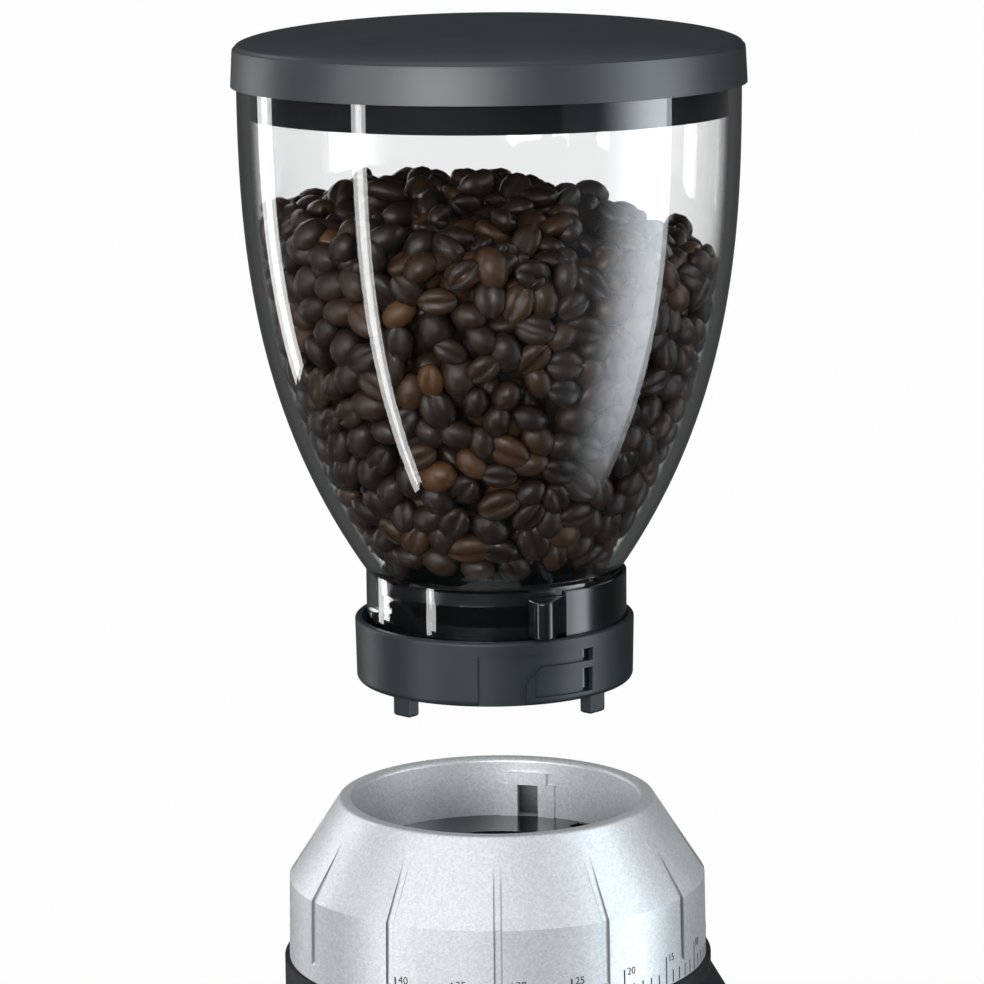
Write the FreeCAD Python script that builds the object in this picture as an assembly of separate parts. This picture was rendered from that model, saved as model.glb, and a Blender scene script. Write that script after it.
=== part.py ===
import FreeCAD, Part
import math
import os

Vector = FreeCAD.Vector
ORIGIN = Vector(0, 0, 0)
UP = Vector(0, 0, 1)
BACK = Vector(0, 1, 0)
RIGHT = Vector(1, 0, 0)

# Bearings in degrees, and small shares that come from geometry
BACK_BEARING = 90.0
LEFT_BEARING = 180.0
FRONT_BEARING = 270.0
FULL_TURN = 360.0
ROUND_MIDDLE = 1 - math.sqrt(0.5)
TOUCH = 1e-6

# Overall layout, in millimetres, with the table top at height zero
LID_DIAMETER = 136.0
FRONT_REACH = 150.0
FOOT_HEIGHT = 4.0
BASE_HEIGHT = 22.0
BAY_HEIGHT = 90.0
HEAD_HEIGHT = 63.0
HOPPER_LIFT = 49.6

# General clearances
SEAT_GAP = 0.2
SLIDE_CLEARANCE = 0.3
RUNNING_CLEARANCE = 0.05
CUT_MARGIN = 1.0

# Lid
LID_RIM_HEIGHT = 10.6
LID_RIM_DRAFT = 0.5
LID_DOME_RISE = 7.2
LID_RIM_WALL = 1.8
LID_SKIN = 2.2
LID_EDGE_ROUND = 2.4
LID_OVERLAP = 6.8
LID_CLEARANCE = 0.4
PLUG_DEPTH = 7.6
PLUG_WALL = 2.0
SEAL_THICKNESS = 1.4
SEAL_LIP = 0.5
SEAL_RIDGE = 1.7

# Bowl of the hopper, heights counted from the underside of its base ring
BOWL_WALL = 2.5
BOWL_STEP = 0.7
BOWL_SHOULDER_HEIGHT = 160.0
BOWL_TOP_PULL = 40.0
BOWL_NECK_PULL = 44.0
BOWL_NECK_SLOPE = 0.68
NECK_TOP = 30.5
NECK_LEDGE_HEIGHT = 26.0
NECK_LEDGE_WIDTH = 1.2
NECK_BOSS_RADIUS = 3.2
NECK_BOSS_HEIGHT = 15.0
NECK_SCREW_COUNT = 3

# Base ring of the hopper
RING_RADIUS = 37.6
RING_DRAFT = 0.3
RING_HEIGHT = 17.4
RING_WALL = 1.7
RING_FLOOR = 2.5
RING_EDGE_ROUND = 0.9
RING_HEEL_ROUND = 1.6
PEDESTAL_HEIGHT = 2.7
PEDESTAL_WIDTH = 5.8
PEDESTAL_START = 304.0
PEDESTAL_SWEEP = 227.0
RING_FOOT_WIDTH = 5.6
RING_FOOT_DEPTH = 4.7
RING_FOOT_LENGTH = 3.6
RING_FOOT_INSET = 0.6
RING_FOOT_ROUND = 0.9
RING_FOOT_ANGLE = 167.5
RING_FOOT_COUNT = 4
PANEL_START = 203.0
PANEL_END = 253.5
PANEL_TOP = 13.8
PANEL_DEPTH = 0.75
LATCH_START = 222.8
LATCH_BAR = 3.5
LATCH_TOP = 10.4
LATCH_TOP_BAR = 1.8
LATCH_FOOT_BAR = 2.2
LATCH_CHAMFER = 3.0
LATCH_CHAMFER_ANGLE = 45.0
LATCH_SLOT_SWEEP = 4.3
CATCH_CHANNEL_DEPTH = 0.7

# Shutter under the neck
SHUTTER_SWING = 85.0
SHUTTER_DISC_RADIUS = 28.0
SHUTTER_DISC_THICKNESS = 2.0
SHUTTER_WINDOW_SWEEP = 78.0
SHUTTER_WINDOW_RADIUS = 20.5
SHUTTER_WINDOW_START = 6.5
SHUTTER_WINDOW_ANGLE = 30.0
SHUTTER_WINDOW_COUNT = 2
SHUTTER_PIVOT_RADIUS = 4.0
SHUTTER_WEB_START = 262.0
SHUTTER_WEB_SWEEP = 34.0
LEVER_THICKNESS = 1.0
LEVER_CLEARANCE = 0.25
LEVER_TOP = 29.3
LEVER_START = 242.0
LEVER_SWEEP = 88.0
TAB_ANGLE = 230.0
TAB_HEEL_ANGLE = 247.0
TAB_RADIUS = 3.0
TAB_PROUD = 5.15
TAB_DROP = 1.0
TAB_FLOAT = 0.6
TAB_ROUND = 0.8
TAB_FLANK_ANGLE = 60.0

# Funnel inside the neck
FUNNEL_WALL = 1.5
FUNNEL_RIM_HEIGHT = 3.4
FUNNEL_DROP = 7.5
SPOUT_RADIUS = 23.0
SPOUT_GAP = 0.5

# Grind collar
COLLAR_RADIUS = 57.0
COLLAR_CREASE_DRAFT = 0.4
COLLAR_GAP = 0.3
COLLAR_BAND_HEIGHT = 22.1
COLLAR_CONE_HEIGHT = 21.5
COLLAR_RIM_WIDTH = 3.8
COLLAR_RIM_ROUND = 1.1
COLLAR_WALL = 3.0
COLLAR_CONE_WALL = 3.6
COLLAR_RIM_THICKNESS = 6.0
SEAT_CLEARANCE = 1.3
SEAT_DEPTH = 16.5
SEAT_PLATE_THICKNESS = 3.0
WEB_THICKNESS = 3.0
HUB_WALL = 3.4
HUB_DEPTH = 9.4
GROOVE_COUNT = 12
GROOVE_WIDTH = 2.2
GROOVE_DEPTH = 0.8
GROOVE_CONE_SHARE = 0.78
GROOVE_FOOT = 4.6
THROAT_RADIUS = 22.0
CATCH_ANGLE = 16.6
CATCH_PAD_WIDTH = 16.0
CATCH_PAD_PROUD = 0.9
CATCH_CAP_WIDTH = 11.5
CATCH_CAP_DROP = 3.9
CATCH_CAP_HEIGHT = 3.3
CATCH_CAP_PROUD = 1.9
CATCH_SLOT_WIDTH = 6.0

# Burrs and their carrier
CARRIER_RADIUS = 30.0
CARRIER_HEADROOM = 2.0
CARRIER_HEIGHT = 15.4
CARRIER_LIP = 2.4
CARRIER_KEY_COUNT = 3
CARRIER_KEY_START = 90.0
CARRIER_KEY_WIDTH = 6.0
CARRIER_KEY_HEIGHT = 3.0
CARRIER_KEY_REACH = 36.5
RING_BURR_RADIUS = 24.0
RING_BURR_HEIGHT = 12.0
RING_BURR_THROAT = 16.0
RING_BURR_TEETH = 24
BURR_GAP = 0.75
CONE_BURR_RADIUS = 19.0
CONE_BURR_TIP_RADIUS = 7.3
CONE_BURR_HEIGHT = 18.5
CONE_BURR_SKIRT = 1.0
CONE_FINE_SHARE = 0.55
CONE_BURR_TEETH = 24
CONE_BREAKER_TEETH = 6
TOOTH_DEPTH = 1.3
TOOTH_WIDTH = 2.4
TOOTH_SLANT = 18.0
TOOTH_RISE = 0.6
TOOTH_OVERRUN = 1.6
BREAKER_DEPTH = 2.2
BREAKER_WIDTH = 4.2
NUT_RADIUS = 6.2
NUT_HEIGHT = 3.0
SHAFT_RADIUS = 4.0
SHAFT_CHAMFER = 0.5
SWEEPER_RADIUS = 32.6
SWEEPER_BLADES = 4
SWEEPER_START = 45.0
SWEEPER_BLADE_WIDTH = 3.0
SWEEPER_BLADE_HEIGHT = 9.0
SWEEPER_HUB_RADIUS = 9.0
SWEEPER_FLOAT = 0.6

# Grinding chamber
CHAMBER_RADIUS = 34.0
CHAMBER_WALL = 4.0
CHAMBER_DEPTH = 32.1
CHAMBER_FLOOR_THICKNESS = 3.0
THRUST_GAP = 0.3
KEYWAY_CLEARANCE = 0.35
BEARING_BLOCK_HEIGHT = 15.0
FLANGE_THICKNESS = 3.0
FLANGE_RADIUS = 54.5
FLANGE_FRONT = 50.0
OUTLET_WIDTH = 18.0
OUTLET_HEIGHT = 12.0
OUTLET_SILL = 1.0
BEARING_RADIUS = 11.0
BEARING_HEIGHT = 6.0
BEARING_BOSS_WALL = 3.0
BEARING_RACE = 2.1
BEARING_SHIELD_DIP = 0.5

# Gear train, two equal reductions on one centre distance
GEAR_MODULE = 0.8
WHEEL_TEETH = 48
PINION_TEETH = 12
PRESSURE_ANGLE = 20.0
GEAR_BACKLASH = 0.12
WHEEL_ADDENDUM = 0.75
PINION_ADDENDUM = 0.9
GEAR_DEDENDUM = 1.15
DRIVE_GEAR_HEIGHT = 8.0
DRIVE_GEAR_DROP = 2.0
IDLER_WHEEL_HEIGHT = 6.0
IDLER_ANGLE = 90.0
IDLER_PIN_RADIUS = 3.0
IDLER_PIN_HEAD_RADIUS = 4.6
IDLER_PIN_HEAD_HEIGHT = 2.0
PINION_OVERHANG = 1.0
MOTOR_PINION_HEIGHT = 8.0

# Gear case and motor
CASE_RADIUS = 48.0
CASE_WALL = 2.5
CASE_HEIGHT = 29.0
CASE_FLOOR = 3.0
CASE_BOSS_RADIUS = 3.6
CASE_BOSS_PITCH = 42.0
CASE_BOSS_HEIGHT = 11.0
CASE_SCREW_ANGLES = (0.0, 180.0, 270.0)
MOTOR_RADIUS = 25.0
MOTOR_LENGTH = 71.0
MOTOR_NECK_RADIUS = 21.0
MOTOR_CAP_HEIGHT = 9.0
MOTOR_PILOT_RADIUS = 8.0
MOTOR_SHAFT_RADIUS = 2.5
MOTOR_SHAFT_SOCKET = 6.0
MOTOR_SCREW_PITCH = 14.0
MOTOR_SCREW_COUNT = 4
MOTOR_VENTS = 6
MOTOR_VENT_WIDTH = 7.0
MOTOR_VENT_HEIGHT = 22.0

# Screws
SMALL_SCREW_RADIUS = 1.5
SMALL_HEAD_RADIUS = 2.8
SMALL_HEAD_HEIGHT = 1.6
SCREW_HOLE_CLEARANCE = 0.2
SCREW_GRIP = 7.0

# Housing
HOUSING_STEP = 1.3
HOUSING_WALL = 2.8
LIP_HEIGHT = 4.5
NOSE_REACH = 98.0
NOSE_HALF_WIDTH = 31.0
NOSE_CORNER_BACK = 84.0
NOSE_SHOULDER = 12.0
NOSE_LIP_ANGLE = 38.0
SHELF_WIDTH = 7.0
SHELF_THICKNESS = 3.0
SHELF_FRONT = 12.0
FLANGE_SCREW_PITCH = 51.5
FLANGE_SCREW_ANGLES = (20.0, 160.0, 70.0, 110.0)
COLUMN_FRONT = 44.0
PANEL_THICKNESS = 2.8
BASE_HALF_WIDTH = 59.0
BASE_CORNER = 28.0
BASE_EDGE_ROUND = 3.0
BASE_PLATE_THICKNESS = 2.5
BASE_VENTS = 7
BASE_VENT_WIDTH = 3.0
BASE_VENT_LENGTH = 34.0
BASE_VENT_PITCH = 7.0
BASE_BOSS_RADIUS = 4.0
BASE_BOSS_SIDE = 45.0
BASE_BOSS_BACK = 26.0
BASE_BOSS_FRONT = 120.0
FOOT_RADIUS = 8.0
FOOT_TOP_RADIUS = 9.0
FOOT_STUD_RADIUS = 2.5
FOOT_SIDE_BACK = 30.0
FOOT_SIDE_FRONT = 40.0
FOOT_BACK = 38.0
FOOT_FRONT = 132.0

# Chute from the chamber to the mouth in the nose
CHUTE_WALL = 1.6
CHUTE_MOUTH = 84.0
CHUTE_MOUTH_LENGTH = 14.0
CHUTE_BEND_RISE = 9.0
CHUTE_OVERHANG = 3.0
CHUTE_FIT = 0.1

# Portafilter fork
FORK_GAP = 61.0
FORK_ARM_WIDTH = 7.0
FORK_THICKNESS = 5.0
FORK_HEIGHT = 70.0
FORK_REACH = 112.0
FORK_THROAT = 58.0
FORK_PLATE_WIDTH = 52.0
FORK_PLATE_DROP = 16.0
FORK_PLATE_THICKNESS = 3.5
FORK_SCREW_PITCH = 40.0

# Start button and its switch
BUTTON_RADIUS = 9.0
BUTTON_HEIGHT = 34.0
BUTTON_PROUD = 6.0
BUTTON_TRAVEL = 4.0
BUTTON_FLANGE = 2.0
BUTTON_ROUND = 1.5
SWITCH_WIDTH = 20.0
SWITCH_DEPTH = 10.0
SWITCH_HEIGHT = 7.0
SWITCH_BRACKET = 2.0

# Power rocker on the right side of the column
ROCKER_HEIGHT = 44.0
ROCKER_FRAME_HEIGHT = 30.0
ROCKER_FRAME_WIDTH = 17.0
ROCKER_FRAME_PROUD = 1.6
ROCKER_BODY_DEPTH = 17.0
ROCKER_LENGTH = 22.0
ROCKER_WIDTH = 11.0
ROCKER_TILT = 7.0
ROCKER_CLEARANCE = 0.5
ROCKER_DIP = 1.2
ROCKER_FRAME_WALL = 1.6
ROCKER_PIVOT_DEPTH = 3.7
ROCKER_POCKET_DEPTH = 14.0

# Crumb tray let into the base
TRAY_WIDTH = 84.0
TRAY_LENGTH = 78.0
TRAY_CORNER = 14.0
TRAY_DEPTH = 11.0
TRAY_WALL = 1.5
TRAY_RIM = 3.0
TRAY_RIM_THICKNESS = 1.4
TRAY_FRONT_MARGIN = 14.0

# Control board and cord gland
BOARD_WIDTH = 40.0
BOARD_HEIGHT = 46.0
BOARD_THICKNESS = 1.6
BOARD_INSET = 12.0
BOARD_BOTTOM = 24.0
BOARD_POST_RADIUS = 2.6
BOARD_POST_SPACING_X = 32.0
BOARD_POST_SPACING_Z = 38.0
RELAY_SIDE = 10.0
RELAY_WIDTH = 15.0
RELAY_RISE = 23.0
RELAY_HEIGHT = 16.0
CAPACITOR_RADIUS = 5.0
CAPACITOR_SIDE = 10.0
CAPACITOR_RISE = 11.5
GLAND_RADIUS = 6.5
GLAND_BORE = 3.6
GLAND_PROUD = 5.0
GLAND_DEPTH = 9.0
GLAND_FLANGE = 1.8

# Heights worked out from the layout
BASE_TOP = FOOT_HEIGHT + BASE_HEIGHT
NOSE_BOTTOM = BASE_TOP + BAY_HEIGHT
HOUSING_TOP = NOSE_BOTTOM + HEAD_HEIGHT
COLLAR_BOTTOM = HOUSING_TOP + COLLAR_GAP
COLLAR_CREASE = COLLAR_BOTTOM + COLLAR_BAND_HEIGHT
COLLAR_RIM = COLLAR_CREASE + COLLAR_CONE_HEIGHT
SEAT_FLOOR = COLLAR_RIM - SEAT_DEPTH
WEB_TOP = SEAT_FLOOR - SEAT_PLATE_THICKNESS
WEB_BOTTOM = WEB_TOP - WEB_THICKNESS
CHAMBER_TOP = WEB_BOTTOM - THRUST_GAP
CHAMBER_FLOOR = CHAMBER_TOP - CHAMBER_DEPTH
BEARING_BLOCK_TOP = CHAMBER_FLOOR - CHAMBER_FLOOR_THICKNESS
FLANGE_BOTTOM = BEARING_BLOCK_TOP - BEARING_BLOCK_HEIGHT
FLANGE_TOP = FLANGE_BOTTOM + FLANGE_THICKNESS
CASE_BOTTOM = FLANGE_BOTTOM - CASE_HEIGHT
MOTOR_BOTTOM = CASE_BOTTOM - MOTOR_LENGTH
CARRIER_TOP = WEB_TOP - CARRIER_HEADROOM
CARRIER_BOTTOM = CARRIER_TOP - CARRIER_HEIGHT
RING_BURR_TOP = CARRIER_TOP - CARRIER_LIP
RING_BURR_BOTTOM = RING_BURR_TOP - RING_BURR_HEIGHT
SWEEPER_BOTTOM = CHAMBER_FLOOR + SWEEPER_FLOAT
CONE_BURR_BOTTOM = RING_BURR_BOTTOM - NUT_HEIGHT
CONE_BURR_TOP = CONE_BURR_BOTTOM + CONE_BURR_HEIGHT
NUT_TOP = CONE_BURR_TOP + NUT_HEIGHT
LOWER_BEARING_BOTTOM = FLANGE_BOTTOM
UPPER_BEARING_BOTTOM = BEARING_BLOCK_TOP - BEARING_HEIGHT
DRIVE_GEAR_TOP = FLANGE_BOTTOM - DRIVE_GEAR_DROP
DRIVE_GEAR_BOTTOM = DRIVE_GEAR_TOP - DRIVE_GEAR_HEIGHT
IDLER_TOP = DRIVE_GEAR_TOP + PINION_OVERHANG
CASE_FLOOR_TOP = CASE_BOTTOM + CASE_FLOOR
IDLER_BOTTOM = CASE_FLOOR_TOP + IDLER_PIN_HEAD_HEIGHT + SLIDE_CLEARANCE
IDLER_WHEEL_TOP = IDLER_BOTTOM + IDLER_WHEEL_HEIGHT
MOTOR_PINION_BOTTOM = IDLER_BOTTOM - PINION_OVERHANG
MOTOR_PINION_TOP = MOTOR_PINION_BOTTOM + MOTOR_PINION_HEIGHT
RING_BOTTOM = SEAT_FLOOR + SEAT_GAP + HOPPER_LIFT

# Radii worked out from the layout
LID_RADIUS = LID_DIAMETER / 2
BOWL_TOP_RADIUS = LID_RADIUS - LID_RIM_WALL - LID_CLEARANCE
BOWL_RADIUS = BOWL_TOP_RADIUS + BOWL_STEP
BOWL_INNER_RADIUS = BOWL_TOP_RADIUS - BOWL_WALL
SEAL_RADIUS = BOWL_INNER_RADIUS - SLIDE_CLEARANCE
PLUG_RADIUS = SEAL_RADIUS - SEAL_THICKNESS
RING_INNER_RADIUS = RING_RADIUS - RING_WALL
LEVER_RADIUS = RING_INNER_RADIUS - LEVER_CLEARANCE
LEVER_INNER_RADIUS = LEVER_RADIUS - LEVER_THICKNESS
TAB_REACH = LEVER_RADIUS + TAB_PROUD
NECK_RADIUS = LEVER_INNER_RADIUS - LEVER_CLEARANCE
NECK_BORE = NECK_RADIUS - BOWL_WALL
NECK_LEDGE_RADIUS = NECK_BORE - NECK_LEDGE_WIDTH
PEDESTAL_BORE = NECK_RADIUS - PEDESTAL_WIDTH
NECK_SCREW_PITCH = NECK_RADIUS - NECK_BOSS_RADIUS - SLIDE_CLEARANCE
COLLAR_BORE = RING_RADIUS + SEAT_CLEARANCE
COLLAR_RIM_RADIUS = COLLAR_BORE + COLLAR_RIM_WIDTH
CREASE_RADIUS = COLLAR_RADIUS - COLLAR_CREASE_DRAFT
HUB_BORE = CARRIER_RADIUS + SLIDE_CLEARANCE
HUB_RADIUS = HUB_BORE + HUB_WALL
CHAMBER_OUTSIDE = CHAMBER_RADIUS + CHAMBER_WALL
GEAR_CENTRES = GEAR_MODULE * (WHEEL_TEETH + PINION_TEETH) / 2
BEARING_BOSS_RADIUS = BEARING_RADIUS + BEARING_BOSS_WALL
HOUSING_RADIUS = COLLAR_RADIUS + HOUSING_STEP
HOUSING_INNER = HOUSING_RADIUS - HOUSING_WALL

# Heights on the hopper, from the table, with the hopper lifted clear
NECK_BOTTOM = RING_FLOOR + PEDESTAL_HEIGHT
LID_SEAT = RING_BOTTOM + BOWL_SHOULDER_HEIGHT + SEAT_GAP
BOWL_TOP = LID_SEAT + LID_OVERLAP
LID_RIM_TOP = LID_SEAT + LID_RIM_HEIGHT

# The burr axis stands behind the middle of the object's depth
AXIS_SHIFT = Vector(0, (FRONT_REACH - LID_RADIUS) / 2, 0)

os.makedirs("parts", exist_ok=True)


# Shared helpers

def export(name, shape):
    """Write one piece, moved from the burr axis to the object's own frame."""
    moved = shape.copy()
    moved.translate(AXIS_SHIFT)
    moved.exportStep("parts/" + name + ".step")


def polar(radius, degrees, height=0.0):
    angle = math.radians(degrees)
    return Vector(radius * math.cos(angle), radius * math.sin(angle), height)


def cylinder(radius, bottom, top, centre=ORIGIN):
    return Part.makeCylinder(radius, top - bottom, Vector(centre.x, centre.y, bottom))


def tube(outer, inner, bottom, top, centre=ORIGIN):
    hole = cylinder(inner, bottom - CUT_MARGIN, top + CUT_MARGIN, centre)
    return cylinder(outer, bottom, top, centre).cut(hole)


def block(low_x, high_x, low_y, high_y, low_z, high_z):
    corner = Vector(low_x, low_y, low_z)
    return Part.makeBox(high_x - low_x, high_y - low_y, high_z - low_z, corner)


def sector(outer, inner, start, sweep, bottom, top):
    """A part-turn of a ring between two radii."""
    wedge = Part.makeCylinder(outer, top - bottom, Vector(0, 0, bottom), UP, sweep)
    wedge.rotate(ORIGIN, UP, start)
    return wedge.cut(cylinder(inner, bottom - CUT_MARGIN, top + CUT_MARGIN))


def turned(points):
    """Revolve a closed outline of radius and height about the vertical axis."""
    corners = [Vector(radius, 0, height) for radius, height in points]
    outline = Part.makePolygon(corners + corners[:1])
    return Part.Face(outline).revolve(ORIGIN, UP, FULL_TURN)


def turned_edges(edges):
    return Part.Face(Part.Wire(edges)).revolve(ORIGIN, UP, FULL_TURN)


def line(start, end):
    return Part.LineSegment(start, end).toShape()


def arc(start, middle, end):
    return Part.Arc(start, middle, end).toShape()


def prism(points, height):
    """Extrude a closed outline, given as vectors, along a direction vector."""
    outline = Part.makePolygon(points + points[:1])
    return Part.Face(outline).extrude(height)


def spread(shape, count, start=0.0):
    """Copies of a shape spaced evenly round the vertical axis."""
    copies = []
    for index in range(count):
        copy = shape.copy()
        copy.rotate(ORIGIN, UP, start + FULL_TURN * index / count)
        copies.append(copy)
    return copies


def joined(shapes):
    return shapes[0].multiFuse(shapes[1:]).removeSplitter()


def rounded_plan(half_width, front, back, corner, bottom, top):
    """A flat slab with four rounded corners."""
    slab = block(-half_width, half_width, front, back, bottom, top)
    upright = [edge for edge in slab.Edges if is_upright(edge)]
    return slab.makeFillet(corner, upright)


def is_upright(edge):
    first = edge.Vertexes[0].Point
    last = edge.Vertexes[-1].Point
    level = abs(first.x - last.x) + abs(first.y - last.y)
    return level < TOUCH and abs(first.z - last.z) > TOUCH


def edges_at_height(shape, height):
    found = []
    for edge in shape.Edges:
        box = edge.BoundBox
        if abs(box.ZMin - height) < TOUCH and abs(box.ZMax - height) < TOUCH:
            found.append(edge)
    return found


def screw(head_bottom, grip, centre, head_up=True):
    """A pan head screw whose head seats at the given height."""
    if head_up:
        head = cylinder(SMALL_HEAD_RADIUS, head_bottom, head_bottom + SMALL_HEAD_HEIGHT, centre)
        shank = cylinder(SMALL_SCREW_RADIUS, head_bottom - grip, head_bottom, centre)
    else:
        head = cylinder(SMALL_HEAD_RADIUS, head_bottom - SMALL_HEAD_HEIGHT, head_bottom, centre)
        shank = cylinder(SMALL_SCREW_RADIUS, head_bottom, head_bottom + grip, centre)
    return head.fuse(shank)


def screw_hole(bottom, top, centre):
    return cylinder(SMALL_SCREW_RADIUS + SCREW_HOLE_CLEARANCE, bottom, top, centre)


# Hopper lid

def lid_cover():
    rim_foot = Vector(LID_RADIUS, 0, LID_SEAT)
    rim_head = Vector(LID_RADIUS - LID_RIM_DRAFT, 0, LID_RIM_TOP - LID_EDGE_ROUND)
    dome_edge = Vector(rim_head.x - LID_EDGE_ROUND, 0, LID_RIM_TOP)
    corner = ROUND_MIDDLE * LID_EDGE_ROUND
    corner_mid = Vector(rim_head.x - corner, 0, LID_RIM_TOP - corner)
    apex = Vector(0, 0, LID_RIM_TOP + LID_DOME_RISE)
    inner_apex = Vector(0, 0, apex.z - LID_SKIN)
    plug_inner = PLUG_RADIUS - PLUG_WALL
    inner_edge = Vector(plug_inner, 0, LID_RIM_TOP - LID_SKIN)
    plug_foot = LID_SEAT - PLUG_DEPTH
    plug_inner_foot = Vector(plug_inner, 0, plug_foot)
    plug_outer_foot = Vector(PLUG_RADIUS, 0, plug_foot)
    plug_root = Vector(PLUG_RADIUS, 0, BOWL_TOP)
    rim_root = Vector(LID_RADIUS - LID_RIM_WALL, 0, BOWL_TOP)
    rim_inner_foot = Vector(LID_RADIUS - LID_RIM_WALL, 0, LID_SEAT)
    outline = [
        line(rim_foot, rim_head),
        arc(rim_head, corner_mid, dome_edge),
        dome_curve(dome_edge, apex),
        line(apex, inner_apex),
        dome_curve(inner_edge, inner_apex),
        line(inner_edge, plug_inner_foot),
        line(plug_inner_foot, plug_outer_foot),
        line(plug_outer_foot, plug_root),
        line(plug_root, rim_root),
        line(rim_root, rim_inner_foot),
        line(rim_inner_foot, rim_foot),
    ]
    return turned_edges(Part.__sortEdges__(outline))


def dome_curve(edge, apex):
    """Shallow dome that is level at its apex."""
    curve = Part.BezierCurve()
    curve.setPoles([edge, Vector(edge.x / 2, 0, apex.z), apex])
    return curve.toShape()


def lid_seal():
    foot = LID_SEAT - PLUG_DEPTH
    head = BOWL_TOP - SEAL_LIP
    waist = SEAL_RADIUS - SEAL_LIP
    return turned([
        (PLUG_RADIUS, foot),
        (SEAL_RADIUS, foot),
        (SEAL_RADIUS, head - 3 * SEAL_RIDGE),
        (waist, head - 2 * SEAL_RIDGE),
        (SEAL_RADIUS, head - SEAL_RIDGE),
        (waist, head),
        (PLUG_RADIUS, head),
    ])


# Hopper body

def bowl_curve(inset):
    """The bowl's wall as one smooth curve, set in by a share of its thickness."""
    length = math.hypot(1.0, BOWL_NECK_SLOPE)
    low_r = NECK_RADIUS - inset / length
    low_z = RING_BOTTOM + NECK_TOP + inset * BOWL_NECK_SLOPE / length
    high_r = BOWL_RADIUS - inset
    high_z = RING_BOTTOM + BOWL_SHOULDER_HEIGHT
    curve = Part.BezierCurve()
    curve.setPoles([
        Vector(low_r, 0, low_z),
        Vector(low_r + BOWL_NECK_PULL * BOWL_NECK_SLOPE, 0, low_z + BOWL_NECK_PULL),
        Vector(high_r, 0, high_z - BOWL_TOP_PULL),
        Vector(high_r, 0, high_z),
    ])
    return curve


def hopper_bowl():
    outer = bowl_curve(0.0)
    inner = bowl_curve(BOWL_WALL + BOWL_STEP)
    outer_low = outer.StartPoint
    outer_high = outer.EndPoint
    inner_low = inner.StartPoint
    inner_high = inner.EndPoint
    foot = RING_BOTTOM + NECK_BOTTOM
    ledge = RING_BOTTOM + NECK_LEDGE_HEIGHT
    rebate = Vector(BOWL_TOP_RADIUS, 0, outer_high.z)
    top_outer = Vector(BOWL_TOP_RADIUS, 0, BOWL_TOP)
    top_inner = Vector(inner_high.x, 0, BOWL_TOP)
    neck_high = Vector(NECK_BORE, 0, inner_low.z)
    ledge_outer = Vector(NECK_BORE, 0, ledge)
    ledge_inner = Vector(NECK_LEDGE_RADIUS, 0, ledge)
    foot_inner = Vector(NECK_LEDGE_RADIUS, 0, foot)
    foot_outer = Vector(NECK_RADIUS, 0, foot)
    outline = [
        outer.toShape(),
        line(outer_high, rebate),
        line(rebate, top_outer),
        line(top_outer, top_inner),
        line(top_inner, inner_high),
        inner.toShape(),
        line(inner_low, neck_high),
        line(neck_high, ledge_outer),
        line(ledge_outer, ledge_inner),
        line(ledge_inner, foot_inner),
        line(foot_inner, foot_outer),
        line(foot_outer, outer_low),
    ]
    ordered = Part.__sortEdges__(outline)
    wall = turned_edges(ordered)
    for centre in neck_screw_places():
        post = cylinder(NECK_BOSS_RADIUS, foot, foot + NECK_BOSS_HEIGHT, centre)
        wall = wall.fuse(post)
    for centre in neck_screw_places():
        wall = wall.cut(cylinder(SMALL_SCREW_RADIUS, foot - CUT_MARGIN, neck_screw_tip(), centre))
    return wall.removeSplitter()


def neck_screw_places():
    """Screws under the neck, spread along the pedestal."""
    step = PEDESTAL_SWEEP / NECK_SCREW_COUNT
    first = PEDESTAL_START + step / 2
    return [polar(NECK_SCREW_PITCH, first + step * index) for index in range(NECK_SCREW_COUNT)]


def neck_screw_tip():
    return RING_BOTTOM + NECK_BOTTOM + SCREW_GRIP


def neck_screw_seat():
    return RING_BOTTOM + SMALL_HEAD_HEIGHT + SLIDE_CLEARANCE


def hopper_screws():
    grip = neck_screw_tip() - neck_screw_seat() - SLIDE_CLEARANCE
    places = neck_screw_places()
    return Part.makeCompound([screw(neck_screw_seat(), grip, place, False) for place in places])


def bean_funnel():
    rim_foot = RING_BOTTOM + NECK_LEDGE_HEIGHT
    rim_top = rim_foot + FUNNEL_RIM_HEIGHT
    rim_radius = NECK_BORE - SLIDE_CLEARANCE
    elbow = rim_foot - FUNNEL_DROP
    tip = RING_BOTTOM + shutter_top() + SPOUT_GAP
    ledge_edge = NECK_LEDGE_RADIUS - SLIDE_CLEARANCE
    return turned([
        (rim_radius, rim_foot),
        (rim_radius, rim_top),
        (rim_radius - FUNNEL_WALL, rim_top),
        (ledge_edge - FUNNEL_WALL, rim_foot),
        (SPOUT_RADIUS - FUNNEL_WALL, elbow),
        (SPOUT_RADIUS - FUNNEL_WALL, tip),
        (SPOUT_RADIUS, tip),
        (SPOUT_RADIUS, elbow),
        (ledge_edge, rim_foot),
    ])


def floor_windows(bottom, top, turn):
    """Two opposite sector openings that beans fall through."""
    opening = sector(
        SHUTTER_WINDOW_RADIUS, SHUTTER_WINDOW_START,
        SHUTTER_WINDOW_ANGLE + turn - SHUTTER_WINDOW_SWEEP / 2, SHUTTER_WINDOW_SWEEP, bottom, top)
    return spread(opening, SHUTTER_WINDOW_COUNT)


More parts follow.
